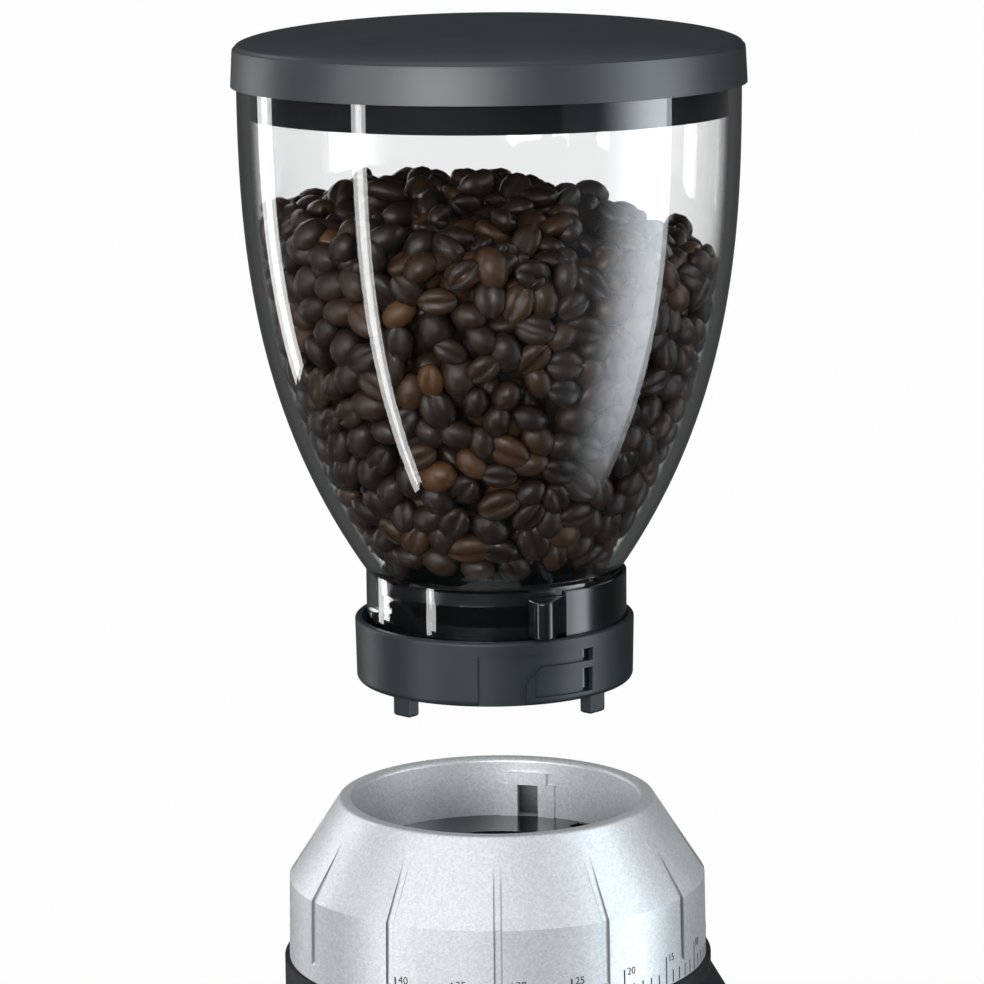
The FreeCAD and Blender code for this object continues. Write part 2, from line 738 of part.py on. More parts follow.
def latch_panel(outer, inner):
    """Recessed panel on the ring, with a raised catch loop left standing in it."""
    bottom = RING_BOTTOM - CUT_MARGIN
    sweep = PANEL_END - PANEL_START
    panel = sector(outer, inner, PANEL_START, sweep, bottom, RING_BOTTOM + PANEL_TOP)
    loop_sweep = PANEL_END - LATCH_START
    loop = sector(outer, inner, LATCH_START, loop_sweep, bottom, RING_BOTTOM + LATCH_TOP)
    hole_start = LATCH_START + LATCH_BAR
    hole_bottom = RING_BOTTOM + LATCH_FOOT_BAR
    hole_top = RING_BOTTOM + LATCH_TOP - LATCH_TOP_BAR
    loop = loop.cut(sector(outer + CUT_MARGIN, inner - CUT_MARGIN, hole_start,
                           PANEL_END - hole_start, hole_bottom, hole_top))
    corner = polar(outer, LATCH_START, RING_BOTTOM + LATCH_TOP)
    side = LATCH_CHAMFER
    nick = block(-side, side, -side, side, -side, side)
    nick.rotate(ORIGIN, RIGHT, LATCH_CHAMFER_ANGLE)
    nick.rotate(ORIGIN, UP, LATCH_START)
    nick.translate(corner)
    return panel.cut(loop.cut(nick))


def latch_slots(outer, inner):
    start = PANEL_END - LATCH_SLOT_SWEEP
    lower = sector(outer, inner, start, LATCH_SLOT_SWEEP,
                   RING_BOTTOM + LATCH_FOOT_BAR, RING_BOTTOM + LATCH_TOP - LATCH_TOP_BAR)
    upper = sector(outer, inner, start, LATCH_SLOT_SWEEP,
                   RING_BOTTOM + LATCH_TOP, RING_BOTTOM + PANEL_TOP)
    return [lower, upper]


def ring_cup():
    """The ring's wall and floor, with a rounded heel and a softened top edge."""
    foot_radius = RING_RADIUS - RING_DRAFT
    floor = RING_BOTTOM + RING_FLOOR
    top = RING_BOTTOM + RING_HEIGHT
    heel = ROUND_MIDDLE * RING_HEEL_ROUND
    brow = ROUND_MIDDLE * RING_EDGE_ROUND
    middle = Vector(0, 0, RING_BOTTOM)
    heel_start = Vector(foot_radius - RING_HEEL_ROUND, 0, RING_BOTTOM)
    heel_mid = Vector(foot_radius - heel, 0, RING_BOTTOM + heel)
    heel_end = Vector(foot_radius, 0, RING_BOTTOM + RING_HEEL_ROUND)
    brow_start = Vector(RING_RADIUS, 0, top - RING_EDGE_ROUND)
    brow_mid = Vector(RING_RADIUS - brow, 0, top - brow)
    brow_end = Vector(RING_RADIUS - RING_EDGE_ROUND, 0, top)
    inner_top = Vector(RING_INNER_RADIUS, 0, top)
    inner_floor = Vector(RING_INNER_RADIUS, 0, floor)
    middle_floor = Vector(0, 0, floor)
    return turned_edges([
        line(middle, heel_start),
        arc(heel_start, heel_mid, heel_end),
        line(heel_end, brow_start),
        arc(brow_start, brow_mid, brow_end),
        line(brow_end, inner_top),
        line(inner_top, inner_floor),
        line(inner_floor, middle_floor),
        line(middle_floor, middle),
    ])


def ring_foot():
    """One of the feet that locate the ring in the collar."""
    outer = RING_RADIUS - RING_DRAFT - RING_FOOT_INSET
    bottom = RING_BOTTOM - RING_FOOT_DEPTH
    half = RING_FOOT_WIDTH / 2
    foot = block(outer - RING_FOOT_LENGTH, outer, -half, half, bottom, RING_BOTTOM + RING_HEEL_ROUND)
    return foot.makeFillet(RING_FOOT_ROUND, edges_at_height(foot, bottom))


def hopper_base_ring():
    foot_radius = RING_RADIUS - RING_DRAFT
    floor = RING_BOTTOM + RING_FLOOR
    pedestal = sector(NECK_RADIUS, PEDESTAL_BORE, PEDESTAL_START, PEDESTAL_SWEEP,
                      floor, RING_BOTTOM + NECK_BOTTOM)
    pivot = cylinder(SHUTTER_PIVOT_RADIUS, floor, RING_BOTTOM + shutter_top() + SLIDE_CLEARANCE)
    feet = spread(ring_foot(), RING_FOOT_COUNT, RING_FOOT_ANGLE)
    ring = joined([ring_cup(), pedestal, pivot] + feet)
    far = RING_RADIUS + CUT_MARGIN
    cuts = [latch_panel(far, foot_radius - PANEL_DEPTH), catch_channel()]
    cuts += latch_slots(far, RING_INNER_RADIUS - CUT_MARGIN)
    cuts += floor_windows(RING_BOTTOM - CUT_MARGIN, floor + CUT_MARGIN, 0)
    for place in neck_screw_places():
        cuts.append(screw_hole(RING_BOTTOM, RING_BOTTOM + NECK_BOTTOM + CUT_MARGIN, place))
        cuts.append(cylinder(SMALL_HEAD_RADIUS + SCREW_HOLE_CLEARANCE,
                             RING_BOTTOM - CUT_MARGIN, neck_screw_seat(), place))
    return ring.cut(Part.makeCompound(cuts))


def catch_channel():
    """Way down the back of the ring that lets it pass the catch in the collar."""
    half = math.degrees((CATCH_CAP_WIDTH / 2 + CUT_MARGIN) / RING_RADIUS)
    depth = RING_RADIUS - RING_DRAFT - CATCH_CHANNEL_DEPTH
    return sector(RING_RADIUS + CUT_MARGIN, depth, CATCH_ANGLE - half, 2 * half,
                  RING_BOTTOM - CUT_MARGIN, RING_BOTTOM + PANEL_TOP)


# Shutter and its lever

def shutter_bottom():
    return RING_FLOOR + SLIDE_CLEARANCE


def shutter_top():
    return shutter_bottom() + SHUTTER_DISC_THICKNESS


def shutter_disc():
    bottom = RING_BOTTOM + shutter_bottom()
    top = RING_BOTTOM + shutter_top()
    bore = SHUTTER_PIVOT_RADIUS + RUNNING_CLEARANCE
    plate = tube(SHUTTER_DISC_RADIUS, bore, bottom, top)
    web = sector(LEVER_INNER_RADIUS, SHUTTER_WINDOW_RADIUS, SHUTTER_WEB_START, SHUTTER_WEB_SWEEP,
                 bottom, top)
    windows = floor_windows(bottom - CUT_MARGIN, top + CUT_MARGIN, SHUTTER_SWING)
    return joined([plate, web]).cut(Part.makeCompound(windows))


def shutter_lever():
    bottom = RING_BOTTOM + shutter_bottom()
    top = RING_BOTTOM + LEVER_TOP
    band = sector(LEVER_RADIUS, LEVER_INNER_RADIUS, LEVER_START, LEVER_SWEEP, bottom, top)
    lever = joined([band, thumb_tab()])
    return lever.cut(cylinder(LEVER_INNER_RADIUS, bottom - CUT_MARGIN, top + CUT_MARGIN))


def thumb_tab():
    """Thumb piece that curls off the lever's band to a rounded end."""
    bottom = RING_BOTTOM + RING_HEIGHT + TAB_FLOAT
    top = RING_BOTTOM + LEVER_TOP - TAB_DROP
    buried = LEVER_INNER_RADIUS - CUT_MARGIN
    hub = polar(TAB_REACH - TAB_RADIUS, TAB_ANGLE, bottom)
    nose = hub + polar(TAB_RADIUS, TAB_ANGLE)
    side = hub + polar(TAB_RADIUS, TAB_ANGLE - BACK_BEARING)
    flank = hub + polar(TAB_RADIUS, TAB_ANGLE + TAB_FLANK_ANGLE)
    heel = polar(LEVER_RADIUS - LEVER_THICKNESS / 2, TAB_HEEL_ANGLE, bottom)
    hollow = smooth_middle(hub, flank, heel)
    root_side = side - polar(TAB_REACH - TAB_RADIUS - buried, TAB_ANGLE)
    root_heel = polar(buried, TAB_HEEL_ANGLE, bottom)
    rounded_end = arc(flank, nose, side)
    outline = Part.Wire([
        arc(heel, hollow, flank),
        rounded_end,
        line(side, root_side),
        line(root_side, root_heel),
        line(root_heel, heel),
    ])
    tab = Part.Face(outline).extrude(UP * (top - bottom))
    level = edges_at_height(tab, top) + edges_at_height(tab, bottom)
    curled = [edge for edge in level if abs(edge.Length - rounded_end.Length) < TOUCH]
    return tab.makeFillet(TAB_ROUND, curled)


def smooth_middle(hub, start, end):
    """Middle of a hollow arc that leaves a round about the hub smoothly and runs to an end point."""
    outward = start - hub
    radius = outward.Length
    outward.normalize()
    back = hub - end
    along = back.dot(outward)
    hollow = -(back.dot(back) + 2 * radius * along + radius ** 2) / (2 * (along + radius))
    centre = hub + outward * (radius + hollow)
    towards = (start - centre) + (end - centre)
    towards.normalize()
    return centre + towards * hollow


# Grind collar and the seat for the hopper

def collar_groove():
    """One shallow grip groove that runs down the cone and the band."""
    reach = COLLAR_RIM_RADIUS + (CREASE_RADIUS - COLLAR_RIM_RADIUS) * (1 - GROOVE_CONE_SHARE)
    top = COLLAR_RIM - COLLAR_CONE_HEIGHT * (1 - GROOVE_CONE_SHARE)
    foot = COLLAR_BOTTOM + GROOVE_FOOT
    outside = COLLAR_RADIUS + CUT_MARGIN
    lean = math.atan2(COLLAR_CONE_HEIGHT, CREASE_RADIUS - COLLAR_RIM_RADIUS)
    drop = GROOVE_DEPTH / math.cos(lean)
    side = -GROOVE_WIDTH / 2
    floor_top = Vector(reach, side, top)
    floor_crease = Vector(CREASE_RADIUS - GROOVE_DEPTH, side, COLLAR_CREASE + GROOVE_DEPTH - drop / 2)
    floor_foot = Vector(COLLAR_RADIUS - GROOVE_DEPTH, side, foot + GROOVE_DEPTH)
    points = [
        floor_top,
        floor_crease,
        floor_foot,
        Vector(outside, side, foot - CUT_MARGIN),
        Vector(outside, side, top),
    ]
    return prism(points, BACK * GROOVE_WIDTH)


def hopper_catch_pad():
    """Raised pad and cap on the wall of the bore, which hold the seated hopper."""
    pad_sweep = math.degrees(CATCH_PAD_WIDTH / COLLAR_BORE)
    cap_sweep = math.degrees(CATCH_CAP_WIDTH / COLLAR_BORE)
    cap_top = COLLAR_RIM - CATCH_CAP_DROP
    cap_bottom = cap_top - CATCH_CAP_HEIGHT
    buried = COLLAR_BORE + CUT_MARGIN
    pad = sector(buried, COLLAR_BORE - CATCH_PAD_PROUD, CATCH_ANGLE - pad_sweep / 2, pad_sweep,
                 SEAT_FLOOR, cap_bottom)
    cap = sector(buried, COLLAR_BORE - CATCH_CAP_PROUD, CATCH_ANGLE - cap_sweep / 2, cap_sweep,
                 cap_bottom, cap_top)
    return [pad, cap]


def catch_slot():
    sweep = math.degrees(CATCH_SLOT_WIDTH / COLLAR_BORE)
    top = COLLAR_RIM - CATCH_CAP_DROP - CATCH_CAP_HEIGHT
    return sector(COLLAR_BORE + COLLAR_WALL + CUT_MARGIN, COLLAR_BORE - CATCH_CAP_PROUD - CUT_MARGIN,
                  CATCH_ANGLE - sweep / 2, sweep, SEAT_FLOOR, top)


def foot_slots(bottom, top):
    outer = RING_RADIUS - RING_DRAFT - RING_FOOT_INSET + SLIDE_CLEARANCE
    inner = outer - RING_FOOT_LENGTH - 2 * SLIDE_CLEARANCE
    half = RING_FOOT_WIDTH / 2 + SLIDE_CLEARANCE
    slot = block(inner, outer, -half, half, bottom, top)
    return spread(slot, RING_FOOT_COUNT, RING_FOOT_ANGLE)


def grind_collar():
    bore_outside = COLLAR_BORE + COLLAR_WALL
    inner_band = COLLAR_RADIUS - COLLAR_WALL
    ceiling = COLLAR_RIM - COLLAR_RIM_THICKNESS
    cone_run = (CREASE_RADIUS - COLLAR_RIM_RADIUS) / COLLAR_CONE_HEIGHT
    inner_ceiling = COLLAR_RIM_RADIUS + cone_run * COLLAR_RIM_THICKNESS - COLLAR_CONE_WALL
    hub_foot = WEB_BOTTOM - HUB_DEPTH
    body = turned([
        (COLLAR_RADIUS, COLLAR_BOTTOM),
        (CREASE_RADIUS, COLLAR_CREASE),
        (COLLAR_RIM_RADIUS, COLLAR_RIM),
        (COLLAR_BORE, COLLAR_RIM),
        (COLLAR_BORE, WEB_TOP),
        (HUB_BORE, WEB_TOP),
        (HUB_BORE, hub_foot),
        (HUB_RADIUS, hub_foot),
        (HUB_RADIUS, WEB_BOTTOM),
        (bore_outside, WEB_BOTTOM),
        (bore_outside, ceiling),
        (max(inner_ceiling, bore_outside + CUT_MARGIN), ceiling),
        (inner_band, COLLAR_CREASE),
        (inner_band, COLLAR_BOTTOM),
    ])
    rim_edges = edges_at_height(body, COLLAR_RIM)
    body = body.makeFillet(COLLAR_RIM_ROUND, rim_edges)
    body = joined([body] + hopper_catch_pad())
    cuts = spread(collar_groove(), GROOVE_COUNT)
    cuts += foot_slots(WEB_BOTTOM - CUT_MARGIN, WEB_TOP + CUT_MARGIN)
    cuts.append(catch_slot())
    return body.cut(Part.makeCompound(cuts))


def hopper_seat():
    plate = tube(COLLAR_BORE - SLIDE_CLEARANCE, THROAT_RADIUS, WEB_TOP, SEAT_FLOOR)
    return plate.cut(Part.makeCompound(foot_slots(WEB_TOP - CUT_MARGIN, SEAT_FLOOR + CUT_MARGIN)))


# Burrs, carrier and sweeper

def slanted_tooth(start, end, width, depth, slant):
    """A straight V cut laid along a cone's surface and turned off its slope."""
    middle = (start + end) * 0.5
    slope = end - start
    length = slope.Length * TOOTH_OVERRUN
    slope.normalize()
    side = BACK
    normal = side.cross(slope)
    turn = math.radians(slant)
    along = slope * math.cos(turn) + side * math.sin(turn)
    across = side * math.cos(turn) - slope * math.sin(turn)
    foot = middle - along * (length / 2)
    proud = foot + normal * depth * TOOTH_RISE
    flare = across * width * (1 + TOOTH_RISE) / 2
    points = [
        foot - normal * depth,
        proud + flare,
        proud - flare,
    ]
    return prism(points, along * length)


def cone_slope():
    run = CONE_BURR_RADIUS - CONE_BURR_TIP_RADIUS
    return run / (CONE_BURR_HEIGHT - CONE_BURR_SKIRT)


def cone_radius(height):
    return CONE_BURR_RADIUS - cone_slope() * (height - CONE_BURR_BOTTOM - CONE_BURR_SKIRT)


def cone_burr():
    skirt_top = CONE_BURR_BOTTOM + CONE_BURR_SKIRT
    body = turned([
        (SHAFT_RADIUS, CONE_BURR_BOTTOM),
        (CONE_BURR_RADIUS, CONE_BURR_BOTTOM),
        (CONE_BURR_RADIUS, skirt_top),
        (CONE_BURR_TIP_RADIUS, CONE_BURR_TOP),
        (SHAFT_RADIUS, CONE_BURR_TOP),
    ])
    fine_top = CONE_BURR_BOTTOM + CONE_BURR_HEIGHT * CONE_FINE_SHARE
    fine = slanted_tooth(Vector(CONE_BURR_RADIUS, 0, CONE_BURR_BOTTOM),
                         Vector(cone_radius(fine_top), 0, fine_top), TOOTH_WIDTH, TOOTH_DEPTH, TOOTH_SLANT)
    coarse = slanted_tooth(Vector(cone_radius(fine_top), 0, fine_top),
                           Vector(CONE_BURR_TIP_RADIUS, 0, CONE_BURR_TOP),
                           BREAKER_WIDTH, BREAKER_DEPTH, TOOTH_SLANT)
    cuts = spread(fine, CONE_BURR_TEETH) + spread(coarse, CONE_BREAKER_TEETH)
    return body.cut(Part.makeCompound(cuts))


def ring_burr_foot_radius():
    return cone_radius(RING_BURR_BOTTOM) + BURR_GAP


def ring_burr():
    foot = ring_burr_foot_radius()
    body = turned([
        (foot, RING_BURR_BOTTOM),
        (RING_BURR_RADIUS, RING_BURR_BOTTOM),
        (RING_BURR_RADIUS, RING_BURR_TOP),
        (RING_BURR_THROAT, RING_BURR_TOP),
    ])
    tooth = slanted_tooth(Vector(RING_BURR_THROAT, 0, RING_BURR_TOP),
                          Vector(foot, 0, RING_BURR_BOTTOM), TOOTH_WIDTH, TOOTH_DEPTH, TOOTH_SLANT)
    cuts = spread(tooth, RING_BURR_TEETH)
    for place in burr_screw_places():
        cuts.append(cylinder(SMALL_SCREW_RADIUS, burr_screw_tip(), RING_BURR_TOP + CUT_MARGIN, place))
    return body.cut(Part.makeCompound(cuts))


def burr_screw_places():
    pitch = RING_BURR_RADIUS - SMALL_HEAD_RADIUS
    half_tooth = FULL_TURN / (2 * RING_BURR_TEETH)
    step = FULL_TURN / CARRIER_KEY_COUNT
    return [polar(pitch, half_tooth + step * index) for index in range(CARRIER_KEY_COUNT)]


def burr_screw_seat():
    return CARRIER_TOP - SMALL_HEAD_HEIGHT


def burr_screw_tip():
    return RING_BURR_TOP - SCREW_GRIP + CUT_MARGIN


def ring_burr_screws():
    grip = burr_screw_seat() - burr_screw_tip() - SLIDE_CLEARANCE
    return Part.makeCompound([screw(burr_screw_seat(), grip, place) for place in burr_screw_places()])


def upper_burr_carrier():
    body = turned([
        (RING_BURR_RADIUS + RUNNING_CLEARANCE, CARRIER_BOTTOM),
        (CARRIER_RADIUS, CARRIER_BOTTOM),
        (CARRIER_RADIUS, CARRIER_TOP),
        (RING_BURR_THROAT + CARRIER_LIP, CARRIER_TOP),
        (RING_BURR_THROAT, RING_BURR_TOP),
        (RING_BURR_RADIUS + RUNNING_CLEARANCE, RING_BURR_TOP),
    ])
    key = block(RING_BURR_RADIUS + CARRIER_LIP, CARRIER_KEY_REACH, -CARRIER_KEY_WIDTH / 2,
                CARRIER_KEY_WIDTH / 2, CARRIER_BOTTOM, CARRIER_BOTTOM + CARRIER_KEY_HEIGHT)
    body = joined([body] + spread(key, CARRIER_KEY_COUNT, CARRIER_KEY_START))
    cuts = []
    for place in burr_screw_places():
        cuts.append(screw_hole(RING_BURR_TOP - CUT_MARGIN, CARRIER_TOP + CUT_MARGIN, place))
        cuts.append(cylinder(SMALL_HEAD_RADIUS + SCREW_HOLE_CLEARANCE,
                             burr_screw_seat(), CARRIER_TOP + CUT_MARGIN, place))
    return body.cut(Part.makeCompound(cuts))


def grounds_sweeper():
    blade_top = SWEEPER_BOTTOM + SWEEPER_BLADE_HEIGHT
    hub = cylinder(SWEEPER_HUB_RADIUS, SWEEPER_BOTTOM, CONE_BURR_BOTTOM)
    disc = cylinder(CONE_BURR_RADIUS, SWEEPER_BOTTOM, SWEEPER_BOTTOM + SWEEPER_BLADE_WIDTH)
    half = SWEEPER_BLADE_WIDTH / 2
    blade = block(0, SWEEPER_RADIUS, -half, half, SWEEPER_BOTTOM, blade_top)
    limit = cylinder(SWEEPER_RADIUS, SWEEPER_BOTTOM, blade_top)
    blades = [copy.common(limit) for copy in spread(blade, SWEEPER_BLADES, SWEEPER_START)]
    body = joined([hub, disc] + blades)
    return body.cut(cylinder(SHAFT_RADIUS, SWEEPER_BOTTOM - CUT_MARGIN, CONE_BURR_BOTTOM + CUT_MARGIN))


def cone_burr_nut():
    flat = [polar(NUT_RADIUS, 60.0 * index, CONE_BURR_TOP) for index in range(6)]
    nut = prism(flat, UP * NUT_HEIGHT)
    return nut.cut(cylinder(SHAFT_RADIUS, CONE_BURR_TOP - CUT_MARGIN, NUT_TOP + CUT_MARGIN))


def burr_shaft():
    stem = cylinder(SHAFT_RADIUS, DRIVE_GEAR_BOTTOM, NUT_TOP)
    return stem.makeChamfer(SHAFT_CHAMFER, edges_at_height(stem, NUT_TOP))


# Gears

def involute(angle):
    return math.tan(angle) - angle


def gear(teeth, addendum, bottom, top, phase):
    """Spur gear with involute flanks, one tooth centred on the phase angle."""
    pitch = GEAR_MODULE * teeth / 2
    base = pitch * math.cos(math.radians(PRESSURE_ANGLE))
    tip = pitch + addendum * GEAR_MODULE
    root = pitch - GEAR_DEDENDUM * GEAR_MODULE
    half_pitch = math.pi / (2 * teeth) - GEAR_BACKLASH / (2 * pitch)
    opening = half_pitch + involute(math.radians(PRESSURE_ANGLE))

    def half_angle(radius):
        return math.degrees(opening - involute(math.acos(min(1.0, base / radius))))

    start = max(root, base)
    middle = (start + tip) / 2
    step = 360.0 / teeth
    edges = []
    for index in range(teeth):
        centre = phase + index * step
        low = half_angle(start)
        mid = half_angle(middle)
        high = half_angle(tip)
        if root < base:
            edges.append(line(polar(root, centre - low, bottom), polar(start, centre - low, bottom)))
        edges.append(arc(polar(start, centre - low, bottom), polar(middle, centre - mid, bottom),
                         polar(tip, centre - high, bottom)))
        edges.append(arc(polar(tip, centre - high, bottom), polar(tip, centre, bottom),
                         polar(tip, centre + high, bottom)))
        edges.append(arc(polar(tip, centre + high, bottom), polar(middle, centre + mid, bottom),
                         polar(start, centre + low, bottom)))
        if root < base:
            edges.append(line(polar(start, centre + low, bottom), polar(root, centre + low, bottom)))
        edges.append(arc(polar(root, centre + low, bottom), polar(root, centre + step / 2, bottom),
                         polar(root, centre + step - low, bottom)))
    return Part.Face(Part.Wire(edges)).extrude(UP * (top - bottom))


def wheel_gear(bottom, top, phase):
    return gear(WHEEL_TEETH, WHEEL_ADDENDUM, bottom, top, phase)


def pinion_gear(bottom, top, phase):
    return gear(PINION_TEETH, PINION_ADDENDUM, bottom, top, phase)


def idler_centre():
    return polar(GEAR_CENTRES, IDLER_ANGLE)


def drive_gear():
    body = wheel_gear(DRIVE_GEAR_BOTTOM, DRIVE_GEAR_TOP, IDLER_ANGLE)
    return body.cut(cylinder(SHAFT_RADIUS, DRIVE_GEAR_BOTTOM - CUT_MARGIN, DRIVE_GEAR_TOP + CUT_MARGIN))


def idler_gear():
    half_pinion = 180.0 / PINION_TEETH
    wheel = wheel_gear(IDLER_BOTTOM, IDLER_WHEEL_TOP, IDLER_ANGLE + 180.0)
    pinion = pinion_gear(IDLER_WHEEL_TOP, IDLER_TOP, IDLER_ANGLE + 180.0 + half_pinion)
    body = wheel.fuse(pinion)
    bore = IDLER_PIN_RADIUS + RUNNING_CLEARANCE
    body = body.cut(cylinder(bore, IDLER_BOTTOM - CUT_MARGIN, IDLER_TOP + CUT_MARGIN))
    body.translate(idler_centre())
    return body


def idler_pin():
    centre = idler_centre()
    head_bottom = IDLER_TOP + SLIDE_CLEARANCE
    head = cylinder(IDLER_PIN_HEAD_RADIUS, head_bottom, head_bottom + IDLER_PIN_HEAD_HEIGHT, centre)
    stem = cylinder(IDLER_PIN_RADIUS, CASE_BOTTOM, head_bottom, centre)
    return head.fuse(stem)


def motor_pinion():
    half_pinion = 180.0 / PINION_TEETH
    body = pinion_gear(MOTOR_PINION_BOTTOM, MOTOR_PINION_TOP, IDLER_ANGLE + half_pinion)
    bore = cylinder(MOTOR_SHAFT_RADIUS, MOTOR_PINION_BOTTOM - CUT_MARGIN, MOTOR_PINION_TOP + CUT_MARGIN)
    return body.cut(bore)


def motor_shaft():
    return cylinder(MOTOR_SHAFT_RADIUS, CASE_BOTTOM - MOTOR_SHAFT_SOCKET, MOTOR_PINION_TOP)


# Motor, gear case and grinding chamber

def motor_screw_places():
    step = 360.0 / MOTOR_SCREW_COUNT
    return [polar(MOTOR_SCREW_PITCH, step * (index + 0.5)) for index in range(MOTOR_SCREW_COUNT)]


def motor_can():
    cap = MOTOR_BOTTOM + MOTOR_CAP_HEIGHT
    body = turned([
        (0, MOTOR_BOTTOM),
        (MOTOR_NECK_RADIUS, MOTOR_BOTTOM),
        (MOTOR_NECK_RADIUS, cap),
        (MOTOR_RADIUS, cap),
        (MOTOR_RADIUS, CASE_BOTTOM),
        (MOTOR_PILOT_RADIUS, CASE_BOTTOM),
        (MOTOR_PILOT_RADIUS, CASE_FLOOR_TOP),
        (0, CASE_FLOOR_TOP),
    ])
    socket_bottom = CASE_BOTTOM - MOTOR_SHAFT_SOCKET - SLIDE_CLEARANCE
    socket = cylinder(MOTOR_SHAFT_RADIUS + RUNNING_CLEARANCE, socket_bottom, CASE_FLOOR_TOP + CUT_MARGIN)
    vent_bottom = cap + MOTOR_CAP_HEIGHT
    vent = block(MOTOR_NECK_RADIUS, MOTOR_RADIUS + CUT_MARGIN, -MOTOR_VENT_WIDTH / 2, MOTOR_VENT_WIDTH / 2,
                 vent_bottom, vent_bottom + MOTOR_VENT_HEIGHT)
    cuts = [socket] + spread(vent, MOTOR_VENTS)
    for place in motor_screw_places():
        cuts.append(cylinder(SMALL_SCREW_RADIUS, CASE_FLOOR_TOP - SCREW_GRIP,
                             CASE_BOTTOM + CUT_MARGIN, place))
    return body.cut(Part.makeCompound(cuts))


def motor_screws():
    grip = SCREW_GRIP - SLIDE_CLEARANCE
    return Part.makeCompound([screw(CASE_FLOOR_TOP, grip, place) for place in motor_screw_places()])


def case_screw_places():
    return [polar(CASE_BOSS_PITCH, angle) for angle in CASE_SCREW_ANGLES]


def flange_screw_places():
    return [polar(FLANGE_SCREW_PITCH, angle) for angle in FLANGE_SCREW_ANGLES]


def gear_case():
    inner = CASE_RADIUS - CASE_WALL
    cup = turned([
        (MOTOR_PILOT_RADIUS + RUNNING_CLEARANCE, CASE_BOTTOM),
        (CASE_RADIUS, CASE_BOTTOM),
        (CASE_RADIUS, FLANGE_BOTTOM),
        (inner, FLANGE_BOTTOM),
        (inner, CASE_FLOOR_TOP),
        (MOTOR_PILOT_RADIUS + RUNNING_CLEARANCE, CASE_FLOOR_TOP),
    ])
    pin_boss = cylinder(IDLER_PIN_HEAD_RADIUS, CASE_FLOOR_TOP, IDLER_BOTTOM - SLIDE_CLEARANCE,
                        idler_centre())
    posts = [cylinder(CASE_BOSS_RADIUS, FLANGE_BOTTOM - CASE_BOSS_HEIGHT, FLANGE_BOTTOM, place)
             for place in case_screw_places()]
    case = joined([cup, pin_boss] + posts)
    cuts = [cylinder(IDLER_PIN_RADIUS, CASE_BOTTOM - CUT_MARGIN, IDLER_BOTTOM, idler_centre())]
    for place in case_screw_places():
        cuts.append(cylinder(SMALL_SCREW_RADIUS, FLANGE_TOP - SCREW_GRIP - CUT_MARGIN,
                             FLANGE_BOTTOM + CUT_MARGIN, place))
    for place in motor_screw_places():
        cuts.append(screw_hole(CASE_BOTTOM - CUT_MARGIN, CASE_FLOOR_TOP + CUT_MARGIN, place))
    return case.cut(Part.makeCompound(cuts))


def chamber_screws():
    places = case_screw_places() + flange_screw_places()
    return Part.makeCompound([screw(FLANGE_TOP, SCREW_GRIP, place) for place in places])


def grinding_chamber():
    bore = BEARING_RADIUS
    shoulder = BEARING_RADIUS - BEARING_BOSS_WALL + CUT_MARGIN
    body = turned([
        (CHAMBER_OUTSIDE, FLANGE_TOP),
        (CHAMBER_OUTSIDE, CHAMBER_TOP),
        (CHAMBER_RADIUS, CHAMBER_TOP),
        (CHAMBER_RADIUS, CHAMBER_FLOOR),
        (bore - BEARING_BOSS_WALL, CHAMBER_FLOOR),
        (bore - BEARING_BOSS_WALL, BEARING_BLOCK_TOP),
        (bore, BEARING_BLOCK_TOP),
        (bore, UPPER_BEARING_BOTTOM),
        (shoulder, UPPER_BEARING_BOTTOM),
        (shoulder, LOWER_BEARING_BOTTOM + BEARING_HEIGHT),
        (bore, LOWER_BEARING_BOTTOM + BEARING_HEIGHT),
        (bore, LOWER_BEARING_BOTTOM),
        (BEARING_BOSS_RADIUS, LOWER_BEARING_BOTTOM),
        (BEARING_BOSS_RADIUS, BEARING_BLOCK_TOP),
        (CHAMBER_RADIUS, BEARING_BLOCK_TOP),
        (CHAMBER_RADIUS, FLANGE_BOTTOM),
        (FLANGE_RADIUS, FLANGE_BOTTOM),
        (FLANGE_RADIUS, FLANGE_TOP),
    ])
    half_key = CARRIER_KEY_WIDTH / 2 + KEYWAY_CLEARANCE
    keyway = block(CHAMBER_RADIUS - CUT_MARGIN, CARRIER_KEY_REACH + KEYWAY_CLEARANCE, -half_key, half_key,
                   CARRIER_BOTTOM - CUT_MARGIN, CHAMBER_TOP + CUT_MARGIN)
    sill = CHAMBER_FLOOR + OUTLET_SILL
    lintel = sill + OUTLET_HEIGHT
    outlet = block(-OUTLET_WIDTH / 2, OUTLET_WIDTH / 2, -CHAMBER_OUTSIDE - CUT_MARGIN, 0, sill, lintel)
    outlet = outlet.cut(cylinder(CHAMBER_RADIUS - CUT_MARGIN, sill - CUT_MARGIN, lintel + CUT_MARGIN))
    front_flat = block(-FLANGE_RADIUS, FLANGE_RADIUS, -2 * FLANGE_RADIUS, -FLANGE_FRONT,
                       FLANGE_BOTTOM - CUT_MARGIN, FLANGE_TOP + CUT_MARGIN)
    cuts = spread(keyway, CARRIER_KEY_COUNT, CARRIER_KEY_START) + [outlet, front_flat]
    for place in case_screw_places() + flange_screw_places():
        cuts.append(screw_hole(FLANGE_BOTTOM - CUT_MARGIN, FLANGE_TOP + CUT_MARGIN, place))
    return body.cut(Part.makeCompound(cuts))


